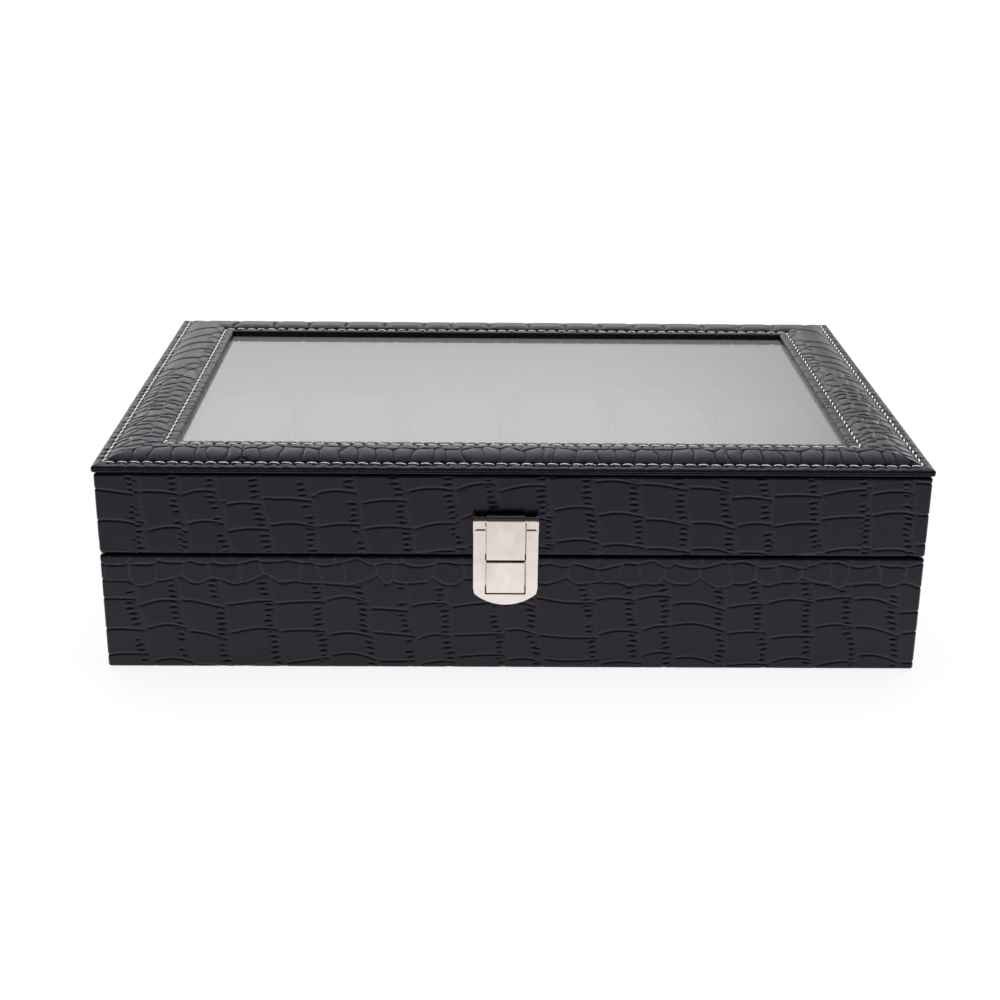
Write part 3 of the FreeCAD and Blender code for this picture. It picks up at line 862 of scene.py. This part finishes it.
class WATCHBOX_OT_padded_frame(bpy.types.Operator):
    """Padded leather frame round the window, puckered along its two sewn rows"""

    bl_idname = "watch_box.padded_frame"
    bl_label = "Padded frame"

    def execute(self, context):
        settings = context.scene.watch_box_frame
        leather = context.scene.watch_box_leather
        finish = bpy.data.materials["embossed polyurethane leather"]
        low, high = box_mm("lid_padded_cover")
        offset, end_offset, height, developed, shown, gathered = self.section(low[2], settings, leather)
        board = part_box("lid_frame_panel")[1][2] / MM + BOARD_ROOM
        rows = (settings.outer_row / MM, (settings.border - settings.inner_row) / MM)
        step = FRAME_STEP * leather.mesh_step / MM
        for side in SIDES:
            at_end = side in ENDS
            half = high[0] if at_end else high[1]
            own, ends = (end_offset, offset) if at_end else (offset, end_offset)
            grids = carry_along_side(own, height, half, FRAME_CORNER, step, ends)
            along, inward = grids[:2]
            flat = np.broadcast_to(developed, along.shape)
            if at_end:
                line, dip = frame_emboss(along, flat, half, FRAME_SCALES[side], SEEDS[side])
            else:
                y = along if side == "right" else -along
                line, dip = strip_emboss(y, flat, half, rows, SEEDS[side])
            mitre = half - np.abs(along) - np.where(own < FRAME_CORNER, inward, ends)
            fade = shown * smooth(mitre, 0, MITRE_FADE)
            dip = dip * (1 - smooth(flat, rows[1] - DIP_FADE, rows[1] - DIP_END))
            # Painted shade in the frame's lines, and on its back a painted shadow in the soft dips; grooves
            # are also matt
            painted_shade = np.maximum(line, BACK_SHADE * dip) if side == "back" else line
            groove = (painted_shade * fade) ** 2
            soft = settings.back_dip if side == "back" else settings.dip
            depth = fade * (FRAME_DEPTH * leather.groove * line + soft * dip) / MM
            trim = 0 if at_end else (settings.border - settings.end_border) / MM
            reaches = (half - rows[0], half - rows[1] + trim)
            depth = depth + gathered * self.pucker(along, flat, reaches, rows, settings)
            along, inward, level = press(grids, depth, section_normals(own, height))
            level = np.maximum(level, np.minimum(height, board))
            points = np.stack([*plan(side, along, inward, high[0], high[1]), level], axis=-1)
            looks = {"groove": groove, "matt": FRAME_MATT * groove}
            mesh = grid_mesh(f"padded_frame_{side}", points, looks)
            piece = add_piece(mesh.name, mesh, "lid", "embossed_leather", finish, "lid_padded_cover")
        return {"FINISHED"}

    def section(self, low, settings, leather):
        """Closed section: round creased nose, two sewn channels, crown between, window edge, pane seat.

        Between the channels the padding rises evenly, with a bulge on top: one less the power 2.6 of
        the distance from the middle. The last four points are the pane seat and the underside. Also
        gives the offsets at the front and back, where the padding is narrower, how far each point
        lies from the edge along the leather, and where emboss and gathers show.
        """
        border, gap, edge, shoulder, foam, crown, channel, channel_half, bend, seat, deep = in_mm(
            settings, "border", "gap", "edge", "shoulder", "foam", "crown", "channel",
            "channel_half", "window_round", "seat", "seat_depth",
        )
        fullness = 2.6
        crease_depth, crease_drop, crease_width = 0.3, 0.1, 0.14
        step = SECTION_STEP * leather.mesh_step / MM
        top, inner = low + edge, low + edge + foam
        nose = (edge - shoulder - gap) / 2
        rows = (settings.outer_row / MM, border - settings.inner_row / MM)
        angle = np.linspace(-math.pi / 2, math.pi / 2, 25)
        flat = np.linspace(nose, border - bend, round((border - bend - nose) / step) + 1)[1:]
        share = np.clip((flat - rows[0] - channel_half) / (rows[1] - rows[0] - 2 * channel_half), 0, 1)
        rise = foam * share + (0.5 * foam + crown) * (1 - np.abs(2 * share - 1) ** fullness)
        rise = rise - shoulder * np.maximum(1 - (flat - nose) / (rows[0] - nose), 0) ** 2
        for row in rows:
            rise = rise - channel * np.maximum(1 - ((flat - row) / channel_half) ** 2, 0)
        turn = np.linspace(0, math.pi / 2, 6)[1:]
        skirt = np.linspace(inner - bend, low + deep, 6)[1:]
        crease = crease_depth * np.exp(-(((angle + crease_drop) / crease_width) ** 2))
        offset = np.concatenate([
            nose - nose * np.cos(angle) + crease,
            flat,
            border - bend + bend * np.sin(turn),
            border + 0 * skirt,
            [border - seat, border - seat, nose + 4, nose + 1.2],
        ])
        height = np.concatenate([
            low + gap + nose + nose * np.sin(angle),
            top + rise,
            inner - bend + bend * np.cos(turn),
            skirt,
            [low + deep, low, low, low],
        ])
        developed = np.concatenate([
            nose - nose * (math.pi / 2 - angle),
            flat,
            border - bend + bend * turn,
            border + inner - bend - skirt,
            4 * [border],
        ])
        gathered = np.concatenate([
            smooth(angle, -0.4, 0.3),
            np.ones(len(flat) + len(turn)),
            smooth(skirt, low + deep, low + deep + 1.2),
            4 * [0.0],
        ])
        shown = gathered * (0.3 + 0.7 * smooth(offset, nose, nose + 1.5))
        taken = (offset - rows[0] - channel_half) / (rows[1] - rows[0] - 2 * channel_half)
        taken = np.clip(taken, 0, 1) * (border - settings.end_border / MM)
        taken[-4:] = 0
        return offset, offset - taken, height, developed, shown, gathered

    def pucker(self, along, inset, reaches, rows, settings):
        """Depth of the stitch holes and of the gathers that run from them to the nearer edge.

        Holes are round dimples at each end of a stitch; gathers are cosines of the stitch pitch
        under a bell curve that is wide towards the edge.
        """
        hole_depth, hole_size = 0.45, 0.45
        edge_width, pad_width = 3.6, 1.3
        gather_depths = (0.2, 0.07)
        total = 0
        for number, (row, reach) in enumerate(zip(rows, reaches)):
            pitch = 2 * reach / round(2 * reach / (settings.stitch_pitch / MM))
            phase = (along + reach) / pitch
            hole = np.abs(phase - np.round(phase)) * pitch
            across = inset - row if number == 0 else row - inset
            total = total + hole_depth * np.exp(-(hole**2 + across**2) / hole_size)
            wide = np.where(across < 0, edge_width, pad_width)
            wave = 0.5 + 0.5 * np.cos(2 * math.pi * phase)
            vary = 0.6 + 0.8 * chance(np.round(phase), number, 5)
            total = total + gather_depths[number] * vary * wave * np.exp(-((across / wide) ** 2))
        return total


class WATCHBOX_OT_stitching(bpy.types.Operator):
    """Two rows of stitches along each side of the padded frame"""

    bl_idname = "watch_box.stitching"
    bl_label = "Stitching"

    def execute(self, context):
        settings = context.scene.watch_box_frame
        finish = sewing_thread(settings)
        low, high = box_mm("lid_padded_cover")
        level = low[2] + (settings.edge - settings.channel) / MM
        outer = settings.outer_row / MM
        inner, inner_end = (
            (border - settings.inner_row) / MM for border in (settings.border, settings.end_border)
        )
        rows = {
            "outer": (outer, outer, level),
            "inner": (inner, inner_end, level + settings.foam / MM),
        }
        for number, (name, row) in enumerate(rows.items()):
            mesh = self.row(f"{name}_stitches", *row, high, settings, number)
            add_piece(mesh.name, mesh, "lid", "stitch_thread", finish)
        return {"FINISHED"}

    def row(self, name, side_inset, end_inset, level, high, settings, number):
        """One closed row of stitches.

        A stitch is a tube of six sides on a bow: its radius is the root of one less the place
        along it to the power of three, and its middle rises as one less the place squared.
        """
        thick = settings.stitch / MM
        # Lift off the channel; bow, slant across the row and half length over the pitch, each with
        # its spread; width and height over the thickness
        lift, arch, slack = 0.2, 0.32, 0.16
        lean, stray = -0.35, 0.2
        reach_share, reach_spread = 0.43, 0.03
        broad, flat = 1.05, 0.9
        place = np.array([-1.0, -0.93, -0.7, -0.3, 0.3, 0.7, 0.93, 1.0])
        angle = np.arange(6) * math.pi / 3
        swell = np.sqrt(np.maximum(1 - np.abs(place) ** 3, 0.03)) * thick / 2
        parts = []
        for order, side in enumerate(SIDES):
            at_end = side in ENDS
            inset, ends = (end_inset, side_inset) if at_end else (side_inset, end_inset)
            reach = (high[0] if at_end else high[1]) - ends
            count = round(2 * reach / (settings.stitch_pitch / MM))
            pitch = 2 * reach / count
            stitch = np.arange(count)[:, None, None]
            vary = chance(stitch, order, number, 6) - 0.5
            bow = level + lift + (arch + slack * vary) * (1 - place[:, None] ** 2)
            slant = (lean + stray * vary) * place[:, None]
            length = pitch * (reach_share + reach_spread * vary)
            along = (stitch + 0.5) * pitch - reach + length * place[:, None] + 0 * angle
            across = inset + slant + swell[:, None] * np.cos(angle) * broad
            height = bow + swell[:, None] * np.sin(angle) * flat
            x, y = plan(side, along, across, high[0], high[1])
            parts.append(np.stack(np.broadcast_arrays(x, y, height), axis=-1))
        stitches = np.concatenate(parts)
        count, rings, sides = stitches.shape[:3]
        index = np.arange(count * rings * sides).reshape(count, rings, sides)
        after = np.roll(index, -1, axis=2)
        quads = np.stack([index[:, :-1], after[:, :-1], after[:, 1:], index[:, 1:]], axis=-1)
        faces = quads.reshape(-1, 4).tolist()
        faces += index[:, 0, ::-1].tolist() + index[:, -1].tolist()
        mesh = bpy.data.meshes.new(name)
        mesh.from_pydata((stitches.reshape(-1, 3) * MM).tolist(), [], faces)
        mesh.update()
        mesh.polygons.foreach_set("use_smooth", np.ones(len(mesh.polygons), bool))
        return mesh


class WATCHBOX_OT_finishes(bpy.types.Operator):
    """Finishes of the pieces that keep the shape of their solids"""

    bl_idname = "watch_box.finishes"
    bl_label = "Finishes"

    def execute(self, context):
        lining = context.scene.watch_box_lining
        metal = context.scene.watch_box_metal
        by_slot = {
            "fibreboard": fibreboard(),
            "felt": flocked_felt(),
            "velvet": velvet("short-pile velvet", lining.velvet),
            "pillow_velvet": velvet("pillow velvet", lining.pillow),
            "window_glass": float_glass(metal),
            "nickel": bright_nickel(metal),
        }
        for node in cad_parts.values():
            finish = by_slot.get(node.data.materials[0].name)
            if finish is not None:
                node.data.materials[0] = finish
        return {"FINISHED"}


class WATCHBOX_OT_floor_cushion(bpy.types.Operator):
    """Thin velvet cushion on the floor of the tray, held down by the dividers"""

    bl_idname = "watch_box.floor_cushion"
    bl_label = "Floor cushion"

    def execute(self, context):
        finish = bpy.data.materials["short-pile velvet"]
        low, high = box_mm("floor_cushion")
        dividers = [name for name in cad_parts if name.startswith("cross_divider")]
        columns = len(dividers) + 1
        points = self.quilted(low, high, columns, 2)
        mesh = grid_mesh("tray_cushion", points)
        piece = add_piece(mesh.name, mesh, "base", "velvet", finish, "floor_cushion")
        return {"FINISHED"}

    def quilted(self, low, high, columns, rows):
        """Pad that sinks round the edge of each slot and is full in its middle and under dividers.

        The dip at a point is a bell curve of its distance to the nearest slot edge.
        """
        divider, sink = 3, 0.7
        dip_place, dip_width = 1.2, 1.1
        count_x, count_y = 281, 181
        x = np.linspace(low[0], high[0], count_x)[:, None]
        y = np.linspace(low[1], high[1], count_y)

        def dip(value, start, end, spaces):
            pitch = (end - start + divider) / spaces
            gap = np.mod(value - start, pitch)
            edge = np.minimum(np.abs(gap), np.abs(pitch - divider - gap))
            return np.exp(-(((edge - dip_place) / dip_width) ** 2)) * (gap < pitch - divider)

        sunk = np.maximum(dip(x, low[0], high[0], columns), dip(y, low[1], high[1], rows))
        top = high[2] - sink * sunk
        around = np.concatenate([y, [high[1], low[1]]])
        height = np.concatenate([top, np.full((len(x), 2), low[2])], axis=1)
        return np.stack(np.broadcast_arrays(x, around, height), axis=-1)


class WATCHBOX_OT_pillows(bpy.types.Operator):
    """Watch pillows: velvet covers filled by a short cloth simulation, piped round both ends"""

    bl_idname = "watch_box.pillows"
    bl_label = "Pillows"

    def execute(self, context):
        settings = context.scene.watch_box_lining
        finish = bpy.data.materials["pillow velvet"]
        names = sorted(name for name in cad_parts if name.startswith("watch_pillow"))
        low, high = box_mm(names[0])
        size = high - low
        seam_inset = 3.2
        cover = self.filled(context, size, settings)
        surface = self.points(cover)
        seams = [self.piping(surface, sign * (size[0] / 2 - seam_inset), settings) for sign in (-1, 1)]
        for number, name in enumerate(names, 1):
            low, high = box_mm(name)
            turned = np.array([1, 1, 1]) if number % 2 else np.array([-1, -1, 1])
            place = (low + high) / 2
            mesh = cover.copy()
            mesh.vertices.foreach_set("co", ((surface * turned + place) * MM).astype(np.float32).ravel())
            mesh.update()
            piece = add_piece(f"pillow_{number:02d}", mesh, "base", "pillow_velvet", finish, name)
            for end, seam in zip(("left", "right"), seams):
                band = grid_mesh(f"pillow_{number:02d}_{end}_piping", seam * turned + place, ring=True)
                add_piece(band.name, band, "base", "pillow_velvet", finish)
        bpy.data.meshes.remove(cover)
        return {"FINISHED"}

    def start(self, size, slack):
        """Empty cover: a rounded section carried along X, a little smaller than the full pillow.

        The section is a superellipse of power 3.2, and towards both ends it shrinks by a quarter
        circle.
        """
        rings, sides = 15, 64
        place = np.linspace(-1, 1, rings)[:, None]
        angle = np.linspace(0, 2 * math.pi, sides, endpoint=False)
        half = size / 2 - slack
        straight, shrink, power = 0.75, 5.0, 2 / 3.2
        beyond = np.maximum(np.abs(place) - straight, 0) / (1 - straight)
        ease = shrink * (1 - np.sqrt(np.maximum(1 - beyond**2, 0)))
        cosine, sine = np.cos(angle), np.sin(angle)
        y = (half[1] - ease) * np.sign(cosine) * np.abs(cosine) ** power
        z = (half[2] - ease) * np.sign(sine) * np.abs(sine) ** power
        return np.stack(np.broadcast_arrays(half[0] * place, y, z), axis=-1)

    def filled(self, context, size, settings):
        """Mesh of the filled cover about its own middle.

        The cover swells under pressure without weight. No point moves further than the swell or
        leaves the pillow's own box, which keeps the underside flat.
        """
        swell = settings.swell / MM
        slack = 0.75 * swell
        voxel, pressure, frames = 3 * MM, 4.0, 20
        mesh = grid_mesh("pillow_cover", self.start(size, slack))
        cover = bpy.data.objects.new("pillow_cover", mesh)
        context.scene.collection.objects.link(cover)
        remesh = cover.modifiers.new("even mesh", "REMESH")
        remesh.mode = "VOXEL"
        remesh.voxel_size = voxel
        remesh.use_smooth_shade = True
        self.apply(context, cover)
        before = self.points(cover.data)
        cloth = cover.modifiers.new("filling", "CLOTH")
        cloth.settings.use_pressure = True
        cloth.settings.uniform_pressure_force = pressure
        cloth.settings.effector_weights.gravity = 0
        for number in range(1, frames + 1):
            context.scene.frame_set(number)
        self.apply(context, cover)
        context.scene.frame_set(1)
        move = self.points(cover.data) - before
        far = np.linalg.norm(move, axis=1, keepdims=True)
        after = before + move * np.minimum(1, swell / np.maximum(far, 1e-6))
        after = np.clip(after, -size / 2, size / 2)
        cover.data.vertices.foreach_set("co", (after * MM).astype(np.float32).ravel())
        divide = cover.modifiers.new("subdivision", "SUBSURF")
        divide.levels = divide.render_levels = 1
        self.apply(context, cover)
        mesh = cover.data
        bpy.data.objects.remove(cover)
        return mesh

    def points(self, mesh):
        """Points of a mesh in millimetres."""
        flat = np.empty(len(mesh.vertices) * 3, np.float32)
        mesh.vertices.foreach_get("co", flat)
        return flat.reshape(-1, 3) / MM

    def apply(self, context, piece):
        """The piece keeps what its modifiers give, and loses them."""
        made = bpy.data.meshes.new_from_object(piece.evaluated_get(context.evaluated_depsgraph_get()))
        old = piece.data
        piece.modifiers.clear()
        piece.data = made
        bpy.data.meshes.remove(old)

    def piping(self, surface, x, settings):
        """Thin tube round one end of the pillow, on its surface.

        The tube's middle is at the surface's distance from the axis, read by angle from the points
        that lie near the seam's plane.
        """
        sunk, band, rings = 0.3, 2.0, 96
        near = surface[np.abs(surface[:, 0] - x) < band]
        angle = np.arctan2(near[:, 2], near[:, 1])
        order = np.argsort(angle)
        turn = np.linspace(-math.pi, math.pi, rings, endpoint=False)[:, None]
        reach = np.interp(turn, angle[order], np.hypot(near[:, 1], near[:, 2])[order], period=2 * math.pi)
        reach = np.mean([np.roll(reach, shift, axis=0) for shift in (-2, -1, 0, 1, 2)], axis=0)
        round_angle = np.arange(6) * math.pi / 3
        thick = settings.piping / MM / 2
        out = reach - sunk * thick + thick * np.cos(round_angle)
        along = x + thick * np.sin(round_angle)
        return np.stack(np.broadcast_arrays(along, out * np.cos(turn), out * np.sin(turn)), axis=-1)


# Light of the surroundings by direction: a name, then an operation and its parts. A ramp's parts are
# what it follows, the ends of its run and the levels there.
STUDIO_LIGHT = (
    ("wide", "ABSOLUTE", "x"),
    # Bright strip across the wall behind
    ("strip_foot", "RAMP", "z", 0.24, 0.33, 0.0, 0.88),
    ("strip_head", "RAMP", "z", 0.35, 0.42, 1.0, 0.0),
    ("strip_ends", "RAMP", "wide", 0.14, 0.3, 1.0, 0.15),
    ("strip", "MULTIPLY", "strip_foot", "strip_head"),
    ("strip", "MULTIPLY", "strip", "strip_ends"),
    # The wall, dimmer low down, overhead, to its sides and in front
    ("wall_foot", "RAMP", "z", 0.1, 0.24, 0.62, 0.98),
    ("wall_head", "RAMP", "z", 0.7, 0.92, 1.0, 0.42),
    ("wall", "MULTIPLY", "wall_foot", "wall_head"),
    ("aside", "ADD", "x", 0.05),
    ("aside", "ABSOLUTE", "aside"),
    ("sides", "RAMP", "aside", 0.1, 0.36, 1.0, 0.5),
    ("wall_ends", "RAMP", "wide", 0.5, 0.75, 1.0, 0.3),
    ("sides", "MULTIPLY", "sides", "wall_ends"),
    ("lit", "ADD", "strip", "wall"),
    ("lit", "MULTIPLY", "lit", "sides"),
    ("rear", "RAMP", "y", -0.1, 0.4, 0.05, 1.0),
    ("behind", "MULTIPLY", "rear", "lit"),
    # Pale panels at both sides
    ("apart", "SUBTRACT", "x", 0.02),
    ("apart", "ABSOLUTE", "apart"),
    ("panel", "RAMP", "apart", 0.22, 0.42, 0.0, 3.9),
    ("panel_head", "RAMP", "z", 0.275, 0.32, 1.0, 0.03),
    ("panel_foot", "RAMP", "z", 0.15, 0.25, 0.05, 1.0),
    ("panel", "MULTIPLY", "panel", "panel_head"),
    ("panel", "MULTIPLY", "panel", "panel_foot"),
    ("panel_front", "RAMP", "y", -0.2, 0.2, 0.0, 1.0),
    ("panel_ends", "RAMP", "wide", 0.6, 0.8, 1.0, 0.15),
    ("edges", "MULTIPLY", "panel_front", "panel_ends"),
    ("beside", "MULTIPLY", "edges", "panel"),
    # All of it, and white for straight views
    ("outside", "ADD", "behind", "beside"),
    ("outside", "MAXIMUM", "straight", "outside"),
    # Under the pane an even level, lower after the first soft bounce
    ("direct", "LESS_THAN", "bounces", 0.5),
    ("inside", "MULTIPLY", "direct", 0.8),
    ("inside", "MAXIMUM", "inside", 0.56),
)


class WATCHBOX_OT_stage(bpy.types.Operator):
    """Pale floor, soft lamp, white surroundings and the camera"""

    bl_idname = "watch_box.stage"
    bl_label = "Stage"

    def execute(self, context):
        scene = context.scene
        settings = scene.watch_box_stage
        scene.view_settings.view_transform = "Standard"
        self.floor(scene, settings)
        self.surroundings(scene)
        self.lamp(scene, settings)
        self.camera(scene, settings)
        return {"FINISHED"}

    def floor(self, scene, settings):
        """Flat square under the box, 12 m wide and 0.3 mm below it.

        Straight views see it mostly lit from within, and wholly so far out. So it is white in the
        open and still carries the soft shadow round the box. In reflections it darkens to the front.
        """
        half, drop = 6.0, -0.0003
        mesh = bpy.data.meshes.new("floor")
        corners = [(-half, -half, drop), (half, -half, drop), (half, half, drop), (-half, half, drop)]
        mesh.from_pydata(corners, [], [(0, 1, 2, 3)])
        floor = bpy.data.objects.new("floor", mesh)
        scene.collection.objects.link(floor)
        made, tree = new_material("pale painted board")
        rays = add(tree, "LightPath")
        place = add(tree, "TexCoord")["Object"]
        y = add(tree, "SeparateXYZ", {"Vector": place})["Y"]
        away = add(tree, "VectorMath", {0: place}, operation="LENGTH")["Value"]
        fade, far_out = (
            add(tree, "MapRange", dict(zip(SLOPE, ends)), interpolation_type="SMOOTHSTEP")["Result"]
            for ends in ((y, -0.24, -0.11, 0.75, 1.0), (away, 0.3, 1.0, 0.88, 1.0))
        )
        straight, mirrored = rays["Is Camera Ray"], rays["Is Glossy Ray"]
        level = add(tree, "Math", {0: straight, 1: fade}, operation="MAXIMUM")["Value"]
        seen = add(tree, "Math", {0: straight, 1: mirrored}, operation="MAXIMUM")["Value"]
        share = add(tree, "Math", {0: seen, 1: far_out}, operation="MULTIPLY")["Value"]
        look = {"Base Color": opaque(settings.floor), "Roughness": 0.9, "Specular IOR Level": 0.1}
        matt = add(tree, "BsdfPrincipled", look)["BSDF"]
        white = add(tree, "Emission", {"Strength": level})["Emission"]
        mixed = add(tree, "MixShader", {0: share, 1: matt, 2: white})["Shader"]
        add(tree, "OutputMaterial", {"Surface": mixed})
        mesh.materials.append(made)

    def surroundings(self, scene):
        """White for straight views, and the studio's light for the rest. Under the pane it is even."""
        world = bpy.data.worlds.new("white studio")
        scene.world = world
        world.use_nodes = True
        tree = world.node_tree
        tree.nodes.clear()
        rays = add(tree, "LightPath")
        way = add(tree, "TexCoord")["Generated"]
        axes = add(tree, "SeparateXYZ", {"Vector": way})
        found = {axis.lower(): axes[axis] for axis in "XYZ"}
        found.update(straight=rays["Is Camera Ray"], bounces=rays["Diffuse Depth"])
        for name, operation, *parts in STUDIO_LIGHT:
            parts = [found.get(part, part) for part in parts]
            if operation == "RAMP":
                slope = dict(zip(SLOPE, parts))
                found[name] = add(tree, "MapRange", slope, interpolation_type="SMOOTHSTEP")["Result"]
            else:
                found[name] = add(tree, "Math", dict(enumerate(parts)), operation=operation)["Value"]
        through = {"Factor": rays["Is Transmission Ray"], 2: found["outside"], 3: found["inside"]}
        light = {"Color": (1.0, 1.0, 1.0, 1.0), "Strength": add(tree, "Mix", through)[0]}
        add(tree, "OutputWorld", {"Surface": add(tree, "Background", light)["Background"]})

    def lamp(self, scene, settings):
        """Wide soft lamp overhead, a little behind the box; its own shape isn't mirrored."""
        lamp = bpy.data.lights.new("overhead lamp", "AREA")
        lamp.shape = "RECTANGLE"
        lamp.size = 1.5
        lamp.size_y = 1.3
        lamp.energy = settings.overhead
        holder = bpy.data.objects.new("overhead lamp", lamp)
        scene.collection.objects.link(holder)
        holder.location = (0, 0.3, 1.3)
        holder.rotation_euler = (-holder.location).to_track_quat("-Z", "Y").to_euler()
        holder.visible_glossy = False
        holder.visible_camera = False
        holder.visible_transmission = False

    def camera(self, scene, settings):
        """Camera at the photograph's place: turned, tipped down and rolled about its own axis."""
        yaw, tip, roll = (math.radians(value) for value in (-0.9, 90 - 21.01, 0.62))
        place = Vector((-13.9, -655.6, 280.5)) * MM
        camera = bpy.data.cameras.new("camera")
        camera.lens = settings.lens
        camera.sensor_width = 36.0
        camera.clip_start = 0.01
        camera.clip_end = 20
        holder = bpy.data.objects.new("camera", camera)
        scene.collection.objects.link(holder)
        turned = Matrix.Rotation(yaw, 4, "Z") @ Matrix.Rotation(tip, 4, "X") @ Matrix.Rotation(roll, 4, "Z")
        holder.matrix_world = Matrix.Translation(place) @ turned
        scene.camera = holder


class WATCHBOX_PT_panel(bpy.types.Panel):
    """The steps that dress the watch box, and their settings"""

    bl_idname = "WATCHBOX_PT_panel"
    bl_label = "Watch Box"
    bl_space_type = "VIEW_3D"
    bl_region_type = "UI"
    bl_category = "Watch Box"

    def draw(self, context):
        for group in SETTINGS:
            settings = getattr(context.scene, group)
            for key in settings.__annotations__:
                self.layout.prop(settings, key)
        for step in STEPS:
            self.layout.operator(step.bl_idname)


SETTINGS = {
    "watch_box_leather": LeatherSettings,
    "watch_box_frame": FrameSettings,
    "watch_box_lining": LiningSettings,
    "watch_box_metal": MetalSettings,
    "watch_box_stage": StageSettings,
}
STEPS = (
    WATCHBOX_OT_stage,
    WATCHBOX_OT_finishes,
    WATCHBOX_OT_leather_walls,
    WATCHBOX_OT_padded_frame,
    WATCHBOX_OT_stitching,
    WATCHBOX_OT_floor_cushion,
    WATCHBOX_OT_pillows,
)


def register():
    for made in (*SETTINGS.values(), *STEPS, WATCHBOX_PT_panel):
        bpy.utils.register_class(made)
    for group, kind in SETTINGS.items():
        setattr(bpy.types.Scene, group, PointerProperty(type=kind))


def unregister():
    for group in SETTINGS:
        delattr(bpy.types.Scene, group)
    for made in reversed((*SETTINGS.values(), *STEPS, WATCHBOX_PT_panel)):
        bpy.utils.unregister_class(made)


def main():
    register()
    for step in STEPS:
        group, name = step.bl_idname.split(".")
        getattr(getattr(bpy.ops, group), name)()


if __name__ == "__main__":
    main()
